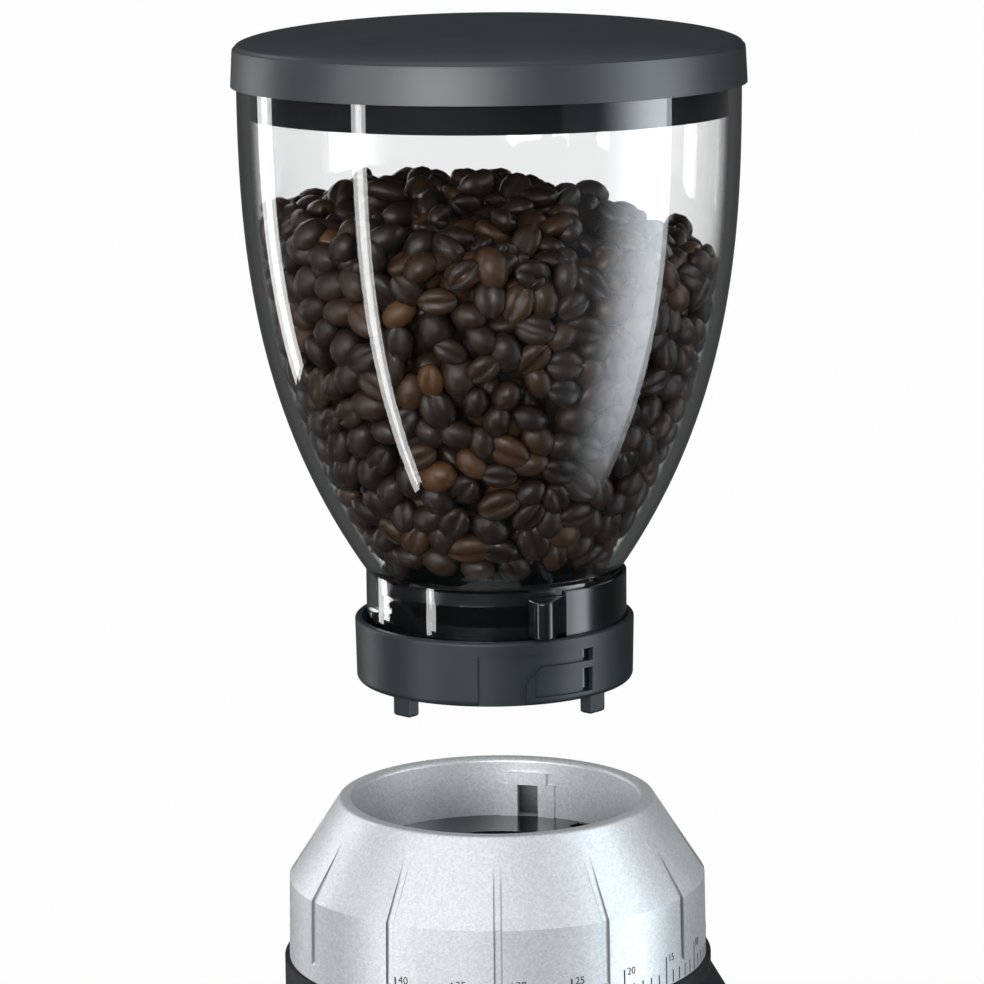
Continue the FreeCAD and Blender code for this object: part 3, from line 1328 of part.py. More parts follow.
def ball_bearing(bottom):
    """A shielded bearing, drawn as one ring with a shallow groove on each face."""
    inner = SHAFT_RADIUS + RUNNING_CLEARANCE
    groove_in = inner + BEARING_RACE
    groove_out = BEARING_RADIUS - BEARING_RACE
    dip = BEARING_SHIELD_DIP
    top = bottom + BEARING_HEIGHT
    return turned([
        (inner, bottom),
        (groove_in, bottom),
        (groove_in, bottom + dip),
        (groove_out, bottom + dip),
        (groove_out, bottom),
        (BEARING_RADIUS, bottom),
        (BEARING_RADIUS, top),
        (groove_out, top),
        (groove_out, top - dip),
        (groove_in, top - dip),
        (groove_in, top),
        (inner, top),
    ])


def chute_side(wall, start):
    """Side outline of the chute: a steep ramp, then a short drop to the mouth."""
    sill = CHAMBER_FLOOR + OUTLET_SILL
    mouth_back = -CHUTE_MOUTH + CHUTE_MOUTH_LENGTH / 2
    mouth_front = -CHUTE_MOUTH - CHUTE_MOUTH_LENGTH / 2
    bend = NOSE_BOTTOM + CHUTE_BEND_RISE
    tip = NOSE_BOTTOM - CHUTE_OVERHANG
    return [
        Vector(0, start, sill - wall),
        Vector(0, -CHAMBER_OUTSIDE, sill - wall),
        Vector(0, mouth_back + wall, bend),
        Vector(0, mouth_back + wall, tip),
        Vector(0, mouth_front - wall, tip),
        Vector(0, mouth_front - wall, bend + wall),
        Vector(0, -CHAMBER_OUTSIDE - CHUTE_MOUTH_LENGTH / 2, sill + OUTLET_HEIGHT + wall),
        Vector(0, start, sill + OUTLET_HEIGHT + wall),
    ]


def grounds_chute():
    half = OUTLET_WIDTH / 2
    outer = prism(chute_side(CHUTE_WALL, -CHAMBER_RADIUS), Vector(2 * half + 2 * CHUTE_WALL, 0, 0))
    outer.translate(Vector(-half - CHUTE_WALL, 0, 0))
    inner = prism(chute_side(0.0, -CHAMBER_RADIUS + CUT_MARGIN), Vector(2 * half, 0, 0))
    inner.translate(Vector(-half, 0, 0))
    mouth = block(-half, half, -CHUTE_MOUTH - CHUTE_MOUTH_LENGTH / 2, -CHUTE_MOUTH + CHUTE_MOUTH_LENGTH / 2,
                  NOSE_BOTTOM - 2 * CHUTE_OVERHANG, NOSE_BOTTOM)
    chamber = cylinder(CHAMBER_OUTSIDE + CHUTE_FIT, FLANGE_BOTTOM, CHAMBER_TOP)
    return outer.cut(inner).cut(mouth).cut(chamber)


# Housing shells

def nose_tangent(inset):
    """Angle past the side at which a line to the nose's corner leaves the round back."""
    half = NOSE_HALF_WIDTH - inset
    distance = math.hypot(half, NOSE_CORNER_BACK)
    bearing = math.degrees(math.atan2(NOSE_CORNER_BACK, half))
    return bearing - math.degrees(math.acos((HOUSING_RADIUS - inset) / distance))


def nose_outline(inset, height):
    """Plan of the head at its foot: round behind, with a nose that reaches forward."""
    side = HOUSING_RADIUS - inset
    half = NOSE_HALF_WIDTH - inset
    turn = nose_tangent(inset)
    right = polar(side, -turn, height)
    left = polar(side, LEFT_BEARING + turn, height)
    right_corner = Vector(half, -NOSE_CORNER_BACK, height)
    left_corner = Vector(-half, -NOSE_CORNER_BACK, height)
    tip = Vector(0, -NOSE_REACH + inset, height)
    return Part.Wire([
        arc(right, polar(side, BACK_BEARING, height), left),
        line(left, left_corner),
        arc(left_corner, tip, right_corner),
        line(right_corner, right),
    ])


def lip_outline(inset, height):
    """Plan of the head at the lip: a circle split where the nose's corners meet it."""
    radius = HOUSING_RADIUS - inset
    turn = nose_tangent(inset)
    right_side = FULL_TURN - turn
    left_side = LEFT_BEARING + turn
    left = FRONT_BEARING - NOSE_LIP_ANGLE
    right = FRONT_BEARING + NOSE_LIP_ANGLE
    spans = [
        (right_side, BACK_BEARING, left_side),
        (left_side, (left_side + left) / 2, left),
        (left, FRONT_BEARING, right),
        (right, (right + right_side) / 2, right_side),
    ]
    return Part.Wire([arc(*[polar(radius, bearing, height) for bearing in span]) for span in spans])


def head_form(inset, foot, shoulder, lip_foot, top):
    prow = Part.Face(nose_outline(inset, foot)).extrude(UP * (shoulder - foot))
    slope = Part.makeLoft([nose_outline(inset, shoulder), lip_outline(inset, lip_foot)], True, True)
    lip = cylinder(HOUSING_RADIUS - inset, lip_foot, top)
    return joined([prow, slope, lip])


def column_plan(radius, front, bottom, top):
    """A round column cut flat on its front."""
    post = cylinder(radius, bottom, top)
    ahead = block(-2 * radius, 2 * radius, -2 * radius, -front, bottom - CUT_MARGIN, top + CUT_MARGIN)
    return post.cut(ahead)


def head_housing():
    shoulder = NOSE_BOTTOM + NOSE_SHOULDER
    lip_foot = HOUSING_TOP - LIP_HEIGHT
    outside = head_form(0.0, NOSE_BOTTOM, shoulder, lip_foot, HOUSING_TOP)
    inside = head_form(HOUSING_WALL, NOSE_BOTTOM + HOUSING_WALL, shoulder, lip_foot,
                       HOUSING_TOP + CUT_MARGIN)
    shell = outside.cut(inside)
    well = column_plan(HOUSING_INNER, COLUMN_FRONT - PANEL_THICKNESS, NOSE_BOTTOM - CUT_MARGIN,
                       NOSE_BOTTOM + HOUSING_WALL + CUT_MARGIN)
    half = OUTLET_WIDTH / 2 + CHUTE_WALL + SLIDE_CLEARANCE
    reach = CHUTE_MOUTH_LENGTH / 2 + CHUTE_WALL + SLIDE_CLEARANCE
    mouth = block(-half, half, -CHUTE_MOUTH - reach, -CHUTE_MOUTH + reach,
                  NOSE_BOTTOM - CUT_MARGIN, NOSE_BOTTOM + HOUSING_WALL + CUT_MARGIN)
    shelf = tube(HOUSING_INNER + CUT_MARGIN, HOUSING_INNER - SHELF_WIDTH,
                 FLANGE_BOTTOM - SHELF_THICKNESS, FLANGE_BOTTOM)
    for place in flange_screw_places():
        boss = cylinder(CASE_BOSS_RADIUS, FLANGE_BOTTOM - CASE_BOSS_HEIGHT, FLANGE_BOTTOM, place)
        shelf = shelf.fuse(boss)
    open_front = block(-2 * HOUSING_RADIUS, 2 * HOUSING_RADIUS, -2 * HOUSING_RADIUS, -SHELF_FRONT,
                       FLANGE_BOTTOM - 2 * CASE_BOSS_HEIGHT, FLANGE_TOP)
    shelf = shelf.cut(open_front)
    shell = shell.cut(Part.makeCompound([well, mouth])).fuse(shelf)
    pilots = [cylinder(SMALL_SCREW_RADIUS, FLANGE_TOP - SCREW_GRIP - CUT_MARGIN, FLANGE_TOP, place)
              for place in flange_screw_places()]
    case_room = cylinder(CASE_RADIUS + SLIDE_CLEARANCE, CASE_BOTTOM, FLANGE_BOTTOM)
    return shell.cut(Part.makeCompound(pilots + [case_room])).removeSplitter()


def column_housing():
    outside = column_plan(HOUSING_RADIUS, COLUMN_FRONT - PANEL_THICKNESS, BASE_TOP, NOSE_BOTTOM)
    inside = column_plan(HOUSING_INNER, COLUMN_FRONT, BASE_TOP - CUT_MARGIN, NOSE_BOTTOM + CUT_MARGIN)
    shell = outside.cut(inside)
    posts = []
    for place_x in (-BOARD_POST_SPACING_X / 2, BOARD_POST_SPACING_X / 2):
        for place_z in board_post_heights():
            start = Vector(place_x, HOUSING_RADIUS - BOARD_INSET, place_z)
            posts.append(Part.makeCylinder(BOARD_POST_RADIUS, BOARD_INSET, start, BACK))
    posts = [post.common(cylinder(HOUSING_INNER + CUT_MARGIN, BASE_TOP, NOSE_BOTTOM)) for post in posts]
    return joined([shell] + posts).cut(rocker_opening())


def board_post_heights():
    middle = BASE_TOP + BOARD_BOTTOM + BOARD_HEIGHT / 2
    return (middle - BOARD_POST_SPACING_Z / 2, middle + BOARD_POST_SPACING_Z / 2)


def control_board():
    back = HOUSING_RADIUS - BOARD_INSET
    bottom = BASE_TOP + BOARD_BOTTOM
    face = back - BOARD_THICKNESS
    plate = block(-BOARD_WIDTH / 2, BOARD_WIDTH / 2, face, back, bottom, bottom + BOARD_HEIGHT)
    relay_bottom = bottom + RELAY_RISE
    relay = block(-RELAY_SIDE, RELAY_WIDTH - RELAY_SIDE, back - BOARD_INSET, face,
                  relay_bottom, relay_bottom + RELAY_HEIGHT)
    capacitor_end = Vector(CAPACITOR_SIDE, back - BOARD_INSET, bottom + CAPACITOR_RISE)
    capacitor = Part.makeCylinder(CAPACITOR_RADIUS, BOARD_INSET - BOARD_THICKNESS, capacitor_end, BACK)
    return joined([plate, relay, capacitor])


def front_panel():
    slab = column_plan(HOUSING_RADIUS, COLUMN_FRONT, BASE_TOP, NOSE_BOTTOM)
    far = 2 * HOUSING_RADIUS
    slab = slab.cut(block(-far, far, -COLUMN_FRONT + PANEL_THICKNESS, far,
                          BASE_TOP - CUT_MARGIN, NOSE_BOTTOM + CUT_MARGIN))
    cuts = [button_barrel(BUTTON_RADIUS + SLIDE_CLEARANCE, -COLUMN_FRONT - CUT_MARGIN,
                          -COLUMN_FRONT + PANEL_THICKNESS + CUT_MARGIN)]
    for place in fork_screw_places():
        cuts.append(Part.makeCylinder(SMALL_SCREW_RADIUS, 2 * COLUMN_FRONT, place, BACK))
    return slab.cut(Part.makeCompound(cuts))


def base_plan(inset, bottom, top):
    """Plan of the foot: round behind under the column, with a broad rounded front."""
    half = BASE_HALF_WIDTH - inset
    front = -FRONT_REACH + inset
    corner = BASE_CORNER - inset
    bow = ROUND_MIDDLE * corner
    right = Vector(half, 0, bottom)
    left = Vector(-half, 0, bottom)
    left_start = Vector(-half, front + corner, bottom)
    left_end = Vector(-half + corner, front, bottom)
    right_start = Vector(half - corner, front, bottom)
    right_end = Vector(half, front + corner, bottom)
    plan = Part.Wire([
        arc(right, Vector(0, half, bottom), left),
        line(left, left_start),
        arc(left_start, Vector(-half + bow, front + bow, bottom), left_end),
        line(left_end, right_start),
        arc(right_start, Vector(half - bow, front + bow, bottom), right_end),
        line(right_end, right),
    ])
    return Part.Face(plan).extrude(UP * (top - bottom))


def base_boss_places():
    places = []
    for side in (-BASE_BOSS_SIDE, BASE_BOSS_SIDE):
        for along in (BASE_BOSS_BACK, -BASE_BOSS_FRONT):
            places.append(Vector(side, along, 0))
    return places


def tray_front():
    return -FRONT_REACH + TRAY_FRONT_MARGIN


def tray_form(inset, bottom, top):
    front = tray_front() + inset
    back = tray_front() + TRAY_LENGTH - inset
    return rounded_plan(TRAY_WIDTH / 2 - inset, front, back, TRAY_CORNER - inset, bottom, top)


def base_housing():
    outside = base_plan(0.0, FOOT_HEIGHT, BASE_TOP)
    outside = outside.makeFillet(BASE_EDGE_ROUND, edges_at_height(outside, BASE_TOP))
    inside = base_plan(HOUSING_WALL, FOOT_HEIGHT - CUT_MARGIN, BASE_TOP - HOUSING_WALL)
    shell = outside.cut(inside)
    bosses = [cylinder(BASE_BOSS_RADIUS, FOOT_HEIGHT + BASE_PLATE_THICKNESS, BASE_TOP - HOUSING_WALL, place)
              for place in base_boss_places()]
    shell = joined([shell] + bosses)
    below = BASE_TOP - 2 * HOUSING_WALL
    above = BASE_TOP + CUT_MARGIN
    cuts = [tray_form(TRAY_RIM - SLIDE_CLEARANCE, below, above)]
    cuts.append(column_plan(HOUSING_INNER, COLUMN_FRONT - PANEL_THICKNESS, below, above))
    cuts.append(gland_barrel(GLAND_RADIUS, BASE_HALF_WIDTH - 2 * HOUSING_WALL, BASE_HALF_WIDTH + CUT_MARGIN))
    pilot_top = FOOT_HEIGHT + BASE_PLATE_THICKNESS + SCREW_GRIP
    for place in base_boss_places():
        cuts.append(cylinder(SMALL_SCREW_RADIUS, FOOT_HEIGHT, pilot_top, place))
    return shell.cut(Part.makeCompound(cuts))


def base_plate():
    top = FOOT_HEIGHT + BASE_PLATE_THICKNESS
    plate = base_plan(HOUSING_WALL + SLIDE_CLEARANCE, FOOT_HEIGHT, top)
    cuts = []
    for index in range(BASE_VENTS):
        middle = BASE_VENT_PITCH * (index - (BASE_VENTS - 1) / 2)
        slot = block(-BASE_VENT_LENGTH / 2, BASE_VENT_LENGTH / 2, middle - BASE_VENT_WIDTH / 2,
                     middle + BASE_VENT_WIDTH / 2, FOOT_HEIGHT - CUT_MARGIN, top + CUT_MARGIN)
        cuts.append(slot)
    for place in base_boss_places():
        cuts.append(screw_hole(FOOT_HEIGHT - CUT_MARGIN, top + CUT_MARGIN, place))
    for place in foot_places():
        cuts.append(cylinder(FOOT_STUD_RADIUS, FOOT_HEIGHT - CUT_MARGIN, top + CUT_MARGIN, place))
    return plate.cut(Part.makeCompound(cuts))


def base_screws():
    grip = BASE_PLATE_THICKNESS + SCREW_GRIP - SLIDE_CLEARANCE
    return Part.makeCompound([screw(FOOT_HEIGHT, grip, place, False) for place in base_boss_places()])


def foot_places():
    places = []
    for side in (-1, 1):
        places.append(Vector(side * FOOT_SIDE_BACK, FOOT_BACK, 0))
        places.append(Vector(side * FOOT_SIDE_FRONT, -FOOT_FRONT, 0))
    return places


def rubber_feet():
    feet = []
    for place in foot_places():
        pad = Part.makeCone(FOOT_RADIUS, FOOT_TOP_RADIUS, FOOT_HEIGHT, place)
        stud = cylinder(FOOT_STUD_RADIUS, FOOT_HEIGHT, FOOT_HEIGHT + BASE_PLATE_THICKNESS, place)
        feet.append(pad.fuse(stud))
    return Part.makeCompound(feet)


# Fork, button, rocker, tray and gland

def fork_top():
    return BASE_TOP + FORK_HEIGHT


def fork_screw_places():
    height = fork_top() - FORK_PLATE_DROP + FORK_THICKNESS
    front = -COLUMN_FRONT - FORK_PLATE_THICKNESS
    return [Vector(side * FORK_SCREW_PITCH / 2, front, height) for side in (-1, 1)]


def portafilter_fork():
    top = fork_top()
    bottom = top - FORK_THICKNESS
    half = FORK_GAP / 2 + FORK_ARM_WIDTH
    yoke = rounded_plan(half, -FORK_REACH, -COLUMN_FRONT, FORK_ARM_WIDTH / 2, bottom, top)
    throat_radius = FORK_GAP / 2
    throat_middle = Vector(0, -FORK_THROAT - throat_radius, 0)
    throat = cylinder(throat_radius, bottom - CUT_MARGIN, top + CUT_MARGIN, throat_middle)
    gap = block(-throat_radius, throat_radius, -2 * FORK_REACH, -FORK_THROAT - throat_radius,
                bottom - CUT_MARGIN, top + CUT_MARGIN)
    plate_front = -COLUMN_FRONT - FORK_PLATE_THICKNESS
    plate = block(-FORK_PLATE_WIDTH / 2, FORK_PLATE_WIDTH / 2, plate_front, -COLUMN_FRONT,
                  top - FORK_PLATE_DROP, top)
    fork = joined([yoke, plate]).cut(Part.makeCompound([throat, gap]))
    holes = []
    for place in fork_screw_places():
        start = place - BACK * CUT_MARGIN
        holes.append(Part.makeCylinder(SMALL_SCREW_RADIUS + SCREW_HOLE_CLEARANCE,
                                       2 * FORK_PLATE_THICKNESS, start, BACK))
    return fork.cut(Part.makeCompound(holes))


def fork_screws():
    screws = []
    grip = FORK_PLATE_THICKNESS + PANEL_THICKNESS
    for place in fork_screw_places():
        head_end = place - BACK * SMALL_HEAD_HEIGHT
        head = Part.makeCylinder(SMALL_HEAD_RADIUS, SMALL_HEAD_HEIGHT, head_end, BACK)
        shank = Part.makeCylinder(SMALL_SCREW_RADIUS, grip, place, BACK)
        screws.append(head.fuse(shank))
    return Part.makeCompound(screws)


def button_height():
    return BASE_TOP + BUTTON_HEIGHT


def button_barrel(radius, start, end):
    return Part.makeCylinder(radius, end - start, Vector(0, start, button_height()), BACK)


def button_back():
    return -COLUMN_FRONT + PANEL_THICKNESS + SLIDE_CLEARANCE


def start_button():
    face = -COLUMN_FRONT - BUTTON_PROUD
    cap = button_barrel(BUTTON_RADIUS, face, button_back())
    front_edge = [edge for edge in cap.Edges if abs(edge.BoundBox.YMax - face) < TOUCH]
    cap = cap.makeFillet(BUTTON_ROUND, front_edge)
    flange = button_barrel(BUTTON_RADIUS + BUTTON_FLANGE, button_back(), button_back() + BUTTON_FLANGE)
    return cap.fuse(flange)


def start_switch():
    """Microswitch on a bracket that stands off the back of the front panel."""
    front = button_back() + BUTTON_FLANGE + BUTTON_TRAVEL + SLIDE_CLEARANCE
    bottom = button_height() - SWITCH_HEIGHT / 2
    top = button_height() + SWITCH_HEIGHT / 2
    body = block(-SWITCH_WIDTH / 2, SWITCH_WIDTH / 2, front, front + SWITCH_DEPTH - SWITCH_BRACKET,
                 bottom, top)
    panel_back = -COLUMN_FRONT + PANEL_THICKNESS
    side = BUTTON_RADIUS + BUTTON_FLANGE + SWITCH_BRACKET
    legs = []
    for low in (-side - SWITCH_BRACKET, side):
        legs.append(block(low, low + SWITCH_BRACKET, panel_back, front + SWITCH_BRACKET, bottom, top))
    bar = block(-side - SWITCH_BRACKET, side + SWITCH_BRACKET, front, front + SWITCH_BRACKET, bottom, top)
    return joined([body, bar] + legs)


def rocker_middle():
    return BASE_TOP + ROCKER_HEIGHT


def rocker_slab(depth_low, depth_high, half_width, half_height):
    middle = rocker_middle()
    return block(depth_low, depth_high, -half_width, half_width, middle - half_height, middle + half_height)


def rocker_opening():
    half_width = ROCKER_FRAME_WIDTH / 2 - ROCKER_FRAME_WALL + SLIDE_CLEARANCE
    half_height = ROCKER_FRAME_HEIGHT / 2 - ROCKER_FRAME_WALL + SLIDE_CLEARANCE
    return rocker_slab(HOUSING_INNER / 2, 2 * HOUSING_RADIUS, half_width, half_height)


def rocker_frame():
    half_width = ROCKER_FRAME_WIDTH / 2
    half_height = ROCKER_FRAME_HEIGHT / 2
    face = HOUSING_RADIUS + ROCKER_FRAME_PROUD
    inner_width = half_width - ROCKER_FRAME_WALL
    inner_height = half_height - ROCKER_FRAME_WALL
    flange = rocker_slab(HOUSING_INNER, face, half_width, half_height)
    flange = flange.cut(cylinder(HOUSING_RADIUS, BASE_TOP, NOSE_BOTTOM))
    body = rocker_slab(face - ROCKER_BODY_DEPTH, face, inner_width, inner_height)
    pocket = rocker_slab(face - ROCKER_POCKET_DEPTH, face + CUT_MARGIN,
                         ROCKER_WIDTH / 2 + ROCKER_CLEARANCE, ROCKER_LENGTH / 2 + ROCKER_CLEARANCE)
    return joined([flange, body]).cut(pocket)


def rocker_pivot():
    return Vector(HOUSING_RADIUS + ROCKER_FRAME_PROUD - ROCKER_PIVOT_DEPTH, 0, rocker_middle())


def power_rocker():
    """Two-sided paddle, resting with its upper half pressed in."""
    pivot = rocker_pivot()
    half = ROCKER_WIDTH / 2
    barrel = Part.makeCylinder(ROCKER_LENGTH / 2, ROCKER_WIDTH, pivot - BACK * half, BACK)
    reach = ROCKER_PIVOT_DEPTH + ROCKER_DIP
    tip = math.tan(math.radians(ROCKER_TILT)) * ROCKER_LENGTH / 2
    outline = [
        pivot + Vector(-ROCKER_PIVOT_DEPTH, -half, -ROCKER_LENGTH / 2),
        pivot + Vector(reach + tip, -half, -ROCKER_LENGTH / 2),
        pivot + Vector(reach, -half, 0),
        pivot + Vector(reach + tip, -half, ROCKER_LENGTH / 2),
        pivot + Vector(-ROCKER_PIVOT_DEPTH, -half, ROCKER_LENGTH / 2),
    ]
    paddle = prism(outline, BACK * ROCKER_WIDTH).common(barrel)
    paddle.rotate(pivot, BACK, -ROCKER_TILT)
    return paddle


def crumb_tray():
    rim = tray_form(0.0, BASE_TOP, BASE_TOP + TRAY_RIM_THICKNESS)
    pan = tray_form(TRAY_RIM, BASE_TOP - TRAY_DEPTH, BASE_TOP)
    hollow = tray_form(TRAY_RIM + TRAY_WALL, BASE_TOP - TRAY_DEPTH + TRAY_WALL,
                       BASE_TOP + TRAY_RIM_THICKNESS + CUT_MARGIN)
    return joined([rim, pan]).cut(hollow)


def gland_barrel(radius, start, end):
    middle = FOOT_HEIGHT + BASE_HEIGHT / 2
    return Part.makeCylinder(radius, end - start, Vector(0, start, middle), BACK)


def cord_gland():
    outside = BASE_HALF_WIDTH
    sleeve = gland_barrel(GLAND_RADIUS, outside - GLAND_DEPTH, outside + GLAND_PROUD)
    middle = FOOT_HEIGHT + BASE_HEIGHT / 2
    taper = Part.makeCone(GLAND_RADIUS + GLAND_FLANGE, GLAND_RADIUS, GLAND_PROUD,
                          Vector(0, outside, middle), BACK)
    taper = taper.cut(base_plan(0.0, FOOT_HEIGHT, BASE_TOP))
    bore = gland_barrel(GLAND_BORE, outside - GLAND_DEPTH - CUT_MARGIN, outside + GLAND_PROUD + CUT_MARGIN)
    return joined([sleeve, taper]).cut(bore)


export("lid_cover", lid_cover())
export("lid_seal", lid_seal())
export("hopper_bowl", hopper_bowl())
export("hopper_base_ring", hopper_base_ring())
export("hopper_screws", hopper_screws())
export("bean_funnel", bean_funnel())
export("shutter_disc", shutter_disc())
export("shutter_lever", shutter_lever())
export("grind_collar", grind_collar())
export("hopper_seat", hopper_seat())
export("upper_burr_carrier", upper_burr_carrier())
export("ring_burr", ring_burr())
export("ring_burr_screws", ring_burr_screws())
export("cone_burr", cone_burr())
export("cone_burr_nut", cone_burr_nut())
export("grounds_sweeper", grounds_sweeper())
export("burr_shaft", burr_shaft())
export("drive_gear", drive_gear())
export("idler_gear", idler_gear())
export("idler_pin", idler_pin())
export("motor_pinion", motor_pinion())
export("motor_shaft", motor_shaft())
export("motor_can", motor_can())
export("motor_screws", motor_screws())
export("gear_case", gear_case())
export("chamber_screws", chamber_screws())
export("grinding_chamber", grinding_chamber())
export("upper_bearing", ball_bearing(UPPER_BEARING_BOTTOM))
export("lower_bearing", ball_bearing(LOWER_BEARING_BOTTOM))
export("grounds_chute", grounds_chute())
export("head_housing", head_housing())
export("column_housing", column_housing())
export("front_panel", front_panel())
export("control_board", control_board())
export("base_housing", base_housing())
export("base_plate", base_plate())
export("base_screws", base_screws())
export("rubber_feet", rubber_feet())
export("portafilter_fork", portafilter_fork())
export("fork_screws", fork_screws())
export("start_button", start_button())
export("start_switch", start_switch())
export("rocker_frame", rocker_frame())
export("power_rocker", power_rocker())
export("crumb_tray", crumb_tray())
export("cord_gland", cord_gland())
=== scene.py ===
import math
import random

import bmesh
import bpy
from mathutils import Matrix, Vector


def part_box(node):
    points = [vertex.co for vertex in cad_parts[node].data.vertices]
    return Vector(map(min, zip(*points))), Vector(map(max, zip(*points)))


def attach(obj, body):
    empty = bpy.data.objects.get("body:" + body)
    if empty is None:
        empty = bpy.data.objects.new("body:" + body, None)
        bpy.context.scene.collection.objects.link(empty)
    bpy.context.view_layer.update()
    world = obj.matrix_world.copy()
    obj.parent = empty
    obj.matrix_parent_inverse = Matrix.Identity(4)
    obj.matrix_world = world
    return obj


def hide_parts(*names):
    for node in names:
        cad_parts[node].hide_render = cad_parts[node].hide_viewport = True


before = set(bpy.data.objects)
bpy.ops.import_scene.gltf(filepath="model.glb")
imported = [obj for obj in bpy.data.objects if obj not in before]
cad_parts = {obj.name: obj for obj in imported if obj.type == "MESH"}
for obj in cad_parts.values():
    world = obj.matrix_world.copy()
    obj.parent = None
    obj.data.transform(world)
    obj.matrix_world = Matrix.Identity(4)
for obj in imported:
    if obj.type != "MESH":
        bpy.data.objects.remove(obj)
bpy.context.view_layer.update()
SCENE = bpy.context.scene
MM = 0.001

# Places read from the frame
COLLAR_LOW, COLLAR_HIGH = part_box("grind_collar")
BOWL_LOW, BOWL_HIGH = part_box("hopper_bowl")
LID_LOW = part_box("lid_cover")[0]
AXIS_X = (COLLAR_LOW.x + COLLAR_HIGH.x) / 2
AXIS_Y = (COLLAR_LOW.y + COLLAR_HIGH.y) / 2
BOWL_FOOT = Vector((AXIS_X, AXIS_Y, BOWL_LOW.z))
LID_FOOT = Vector((AXIS_X, AXIS_Y, LID_LOW.z))

# The clear bowl, as on the solid, with heights from the foot of its neck
BOWL_RADIUS = 66.5 * MM
BOWL_THICKNESS = 3.2 * MM
BOWL_REBATE = 0.7 * MM
BOWL_SHOULDER = 154.8 * MM
BOWL_TOP = BOWL_HIGH.z - BOWL_LOW.z
BOWL_SLOPE = 0.68
BOWL_NECK_PULL = 44.0 * MM
BOWL_TOP_PULL = 40.0 * MM
BOWL_CURVE_STEPS = 44
NECK_RADIUS = 34.4 * MM
NECK_BORE = 31.9 * MM
NECK_TOP = 25.3 * MM
NECK_LEDGE = 20.8 * MM
NECK_LEDGE_RADIUS = 30.7 * MM
WALL_TOP_RADIUS = BOWL_RADIUS - BOWL_THICKNESS
BOSS_BEARINGS = (341.8, 57.5, 133.2)
BOSS_PITCH = 30.9 * MM
BOSS_RADIUS = 3.2 * MM
BOSS_HEIGHT = 15.0 * MM
BOSS_HOLE_RADIUS = 1.5 * MM
BOSS_HOLE_DEPTH = 7.0 * MM
BOSS_STEPS = 24

# The lid, with heights from the foot of its plug
LID_RADIUS = 68.0 * MM
LID_RIM_FOOT = 7.6 * MM
LID_RIM_HEAD = 16.6 * MM
LID_RIM_DRAFT = 0.5 * MM
LID_RIM_WALL = 1.8 * MM
LID_RIM_BREAK_IN = 0.15 * MM
LID_RIM_BREAK_UP = 0.7 * MM
LID_ROOF = 14.4 * MM
LID_SKIN = 2.2 * MM
LID_EDGE = 17.8 * MM
LID_EDGE_RADIUS = 66.8 * MM
LID_SHOULDER = 21.6 * MM
LID_SHOULDER_RADIUS = 65.9 * MM
LID_CROWN_RADIUS = 29.3 * MM
LID_APEX = 24.8 * MM
PLUG_RADIUS = 61.6 * MM
PLUG_WALL = 2.0 * MM
DOME_STEPS = 40

# How turned pieces are spun and closed
TURNED_STEPS = 192
SHARP_EDGE = math.radians(24)
TURNED_SEAM = 1e-7

# Coffee beans, each shaped from a ball of radius one
BEAN_LENGTH = 10.6 * MM
BEAN_WIDTH = 8.1 * MM
BEAN_BACK = 3.8 * MM
BEAN_FACE = 2.3 * MM
BEAN_SEAM = 1.5 * MM
BEAN_SIDES = 12
BEAN_RINGS = 7
BEAN_ON_MIDDLE = 0.01
LIP_NEAR = 0.3
LIP_FAR = 0.8
LIP_NARROWING = 0.45
LIP_SWELL = 1.12
BEAN_SIZE_SPREAD = 0.13
BEAN_NARROWEST = 0.92
BEAN_BROADEST = 1.08
BEAN_GAP = 0.3 * MM
BACK_OUT_SHARE = 0.5

# The heap of beans, with heights from the foot of the bowl's neck
HEAP_HEIGHT = 111.5 * MM
HEAP_CROWN = 17.0 * MM
HEAP_TILT = 0.1
HEAP_FOOT = 29.5 * MM
HEAP_SEED = 41
HEAP_UNEVEN_MM = 2.4
HEAP_MIDDLE = 1e-6
WALL_HALVINGS = 30
WALL_STEP = 0.01
CORE_RINGS = 14
CORE_SIDES = 48
CORE_SEAM = 1e-6
# The core's darkest roast is painted shade for the beans deep in the heap.
CORE_SHADE_ROAST = 0.05
ROAST_LIGHT_PULL = 1.7
ROAST_DARK_PULL = 2.2

# Grip grooves of the collar, as on the solid, and the painted shade in their corners
GROOVE_COUNT = 12
GROOVE_HALF = 1.13 * MM
GROOVE_UNSHADED_HALF = 0.4 * MM
GROOVE_FOOT = 4.6 * MM
GROOVE_TOP_DROP = 4.73 * MM
GROOVE_FADE = 9.0 * MM
GROOVE_INNER_RADIUS = 41.5 * MM

# Dial on the collar's band
DIAL_COUNT = 40
DIAL_STEP = 3.2
DIAL_START = 181.7
DIAL_LONG_EVERY = 5
DIAL_FOOT = 0.4 * MM
DIAL_LONG = 7.6 * MM
DIAL_SHORT = 3.4 * MM
DIAL_LINE = 0.42 * MM
DIAL_INK = 0.05 * MM
NUMBER_HEIGHT = 2.0 * MM
NUMBER_OFFSET = 0.9 * MM
NUMBER_RISE = 0.4 * MM
FIGURE_SHARE = 0.7
BAND_DRAFT = 0.4 / 22.1

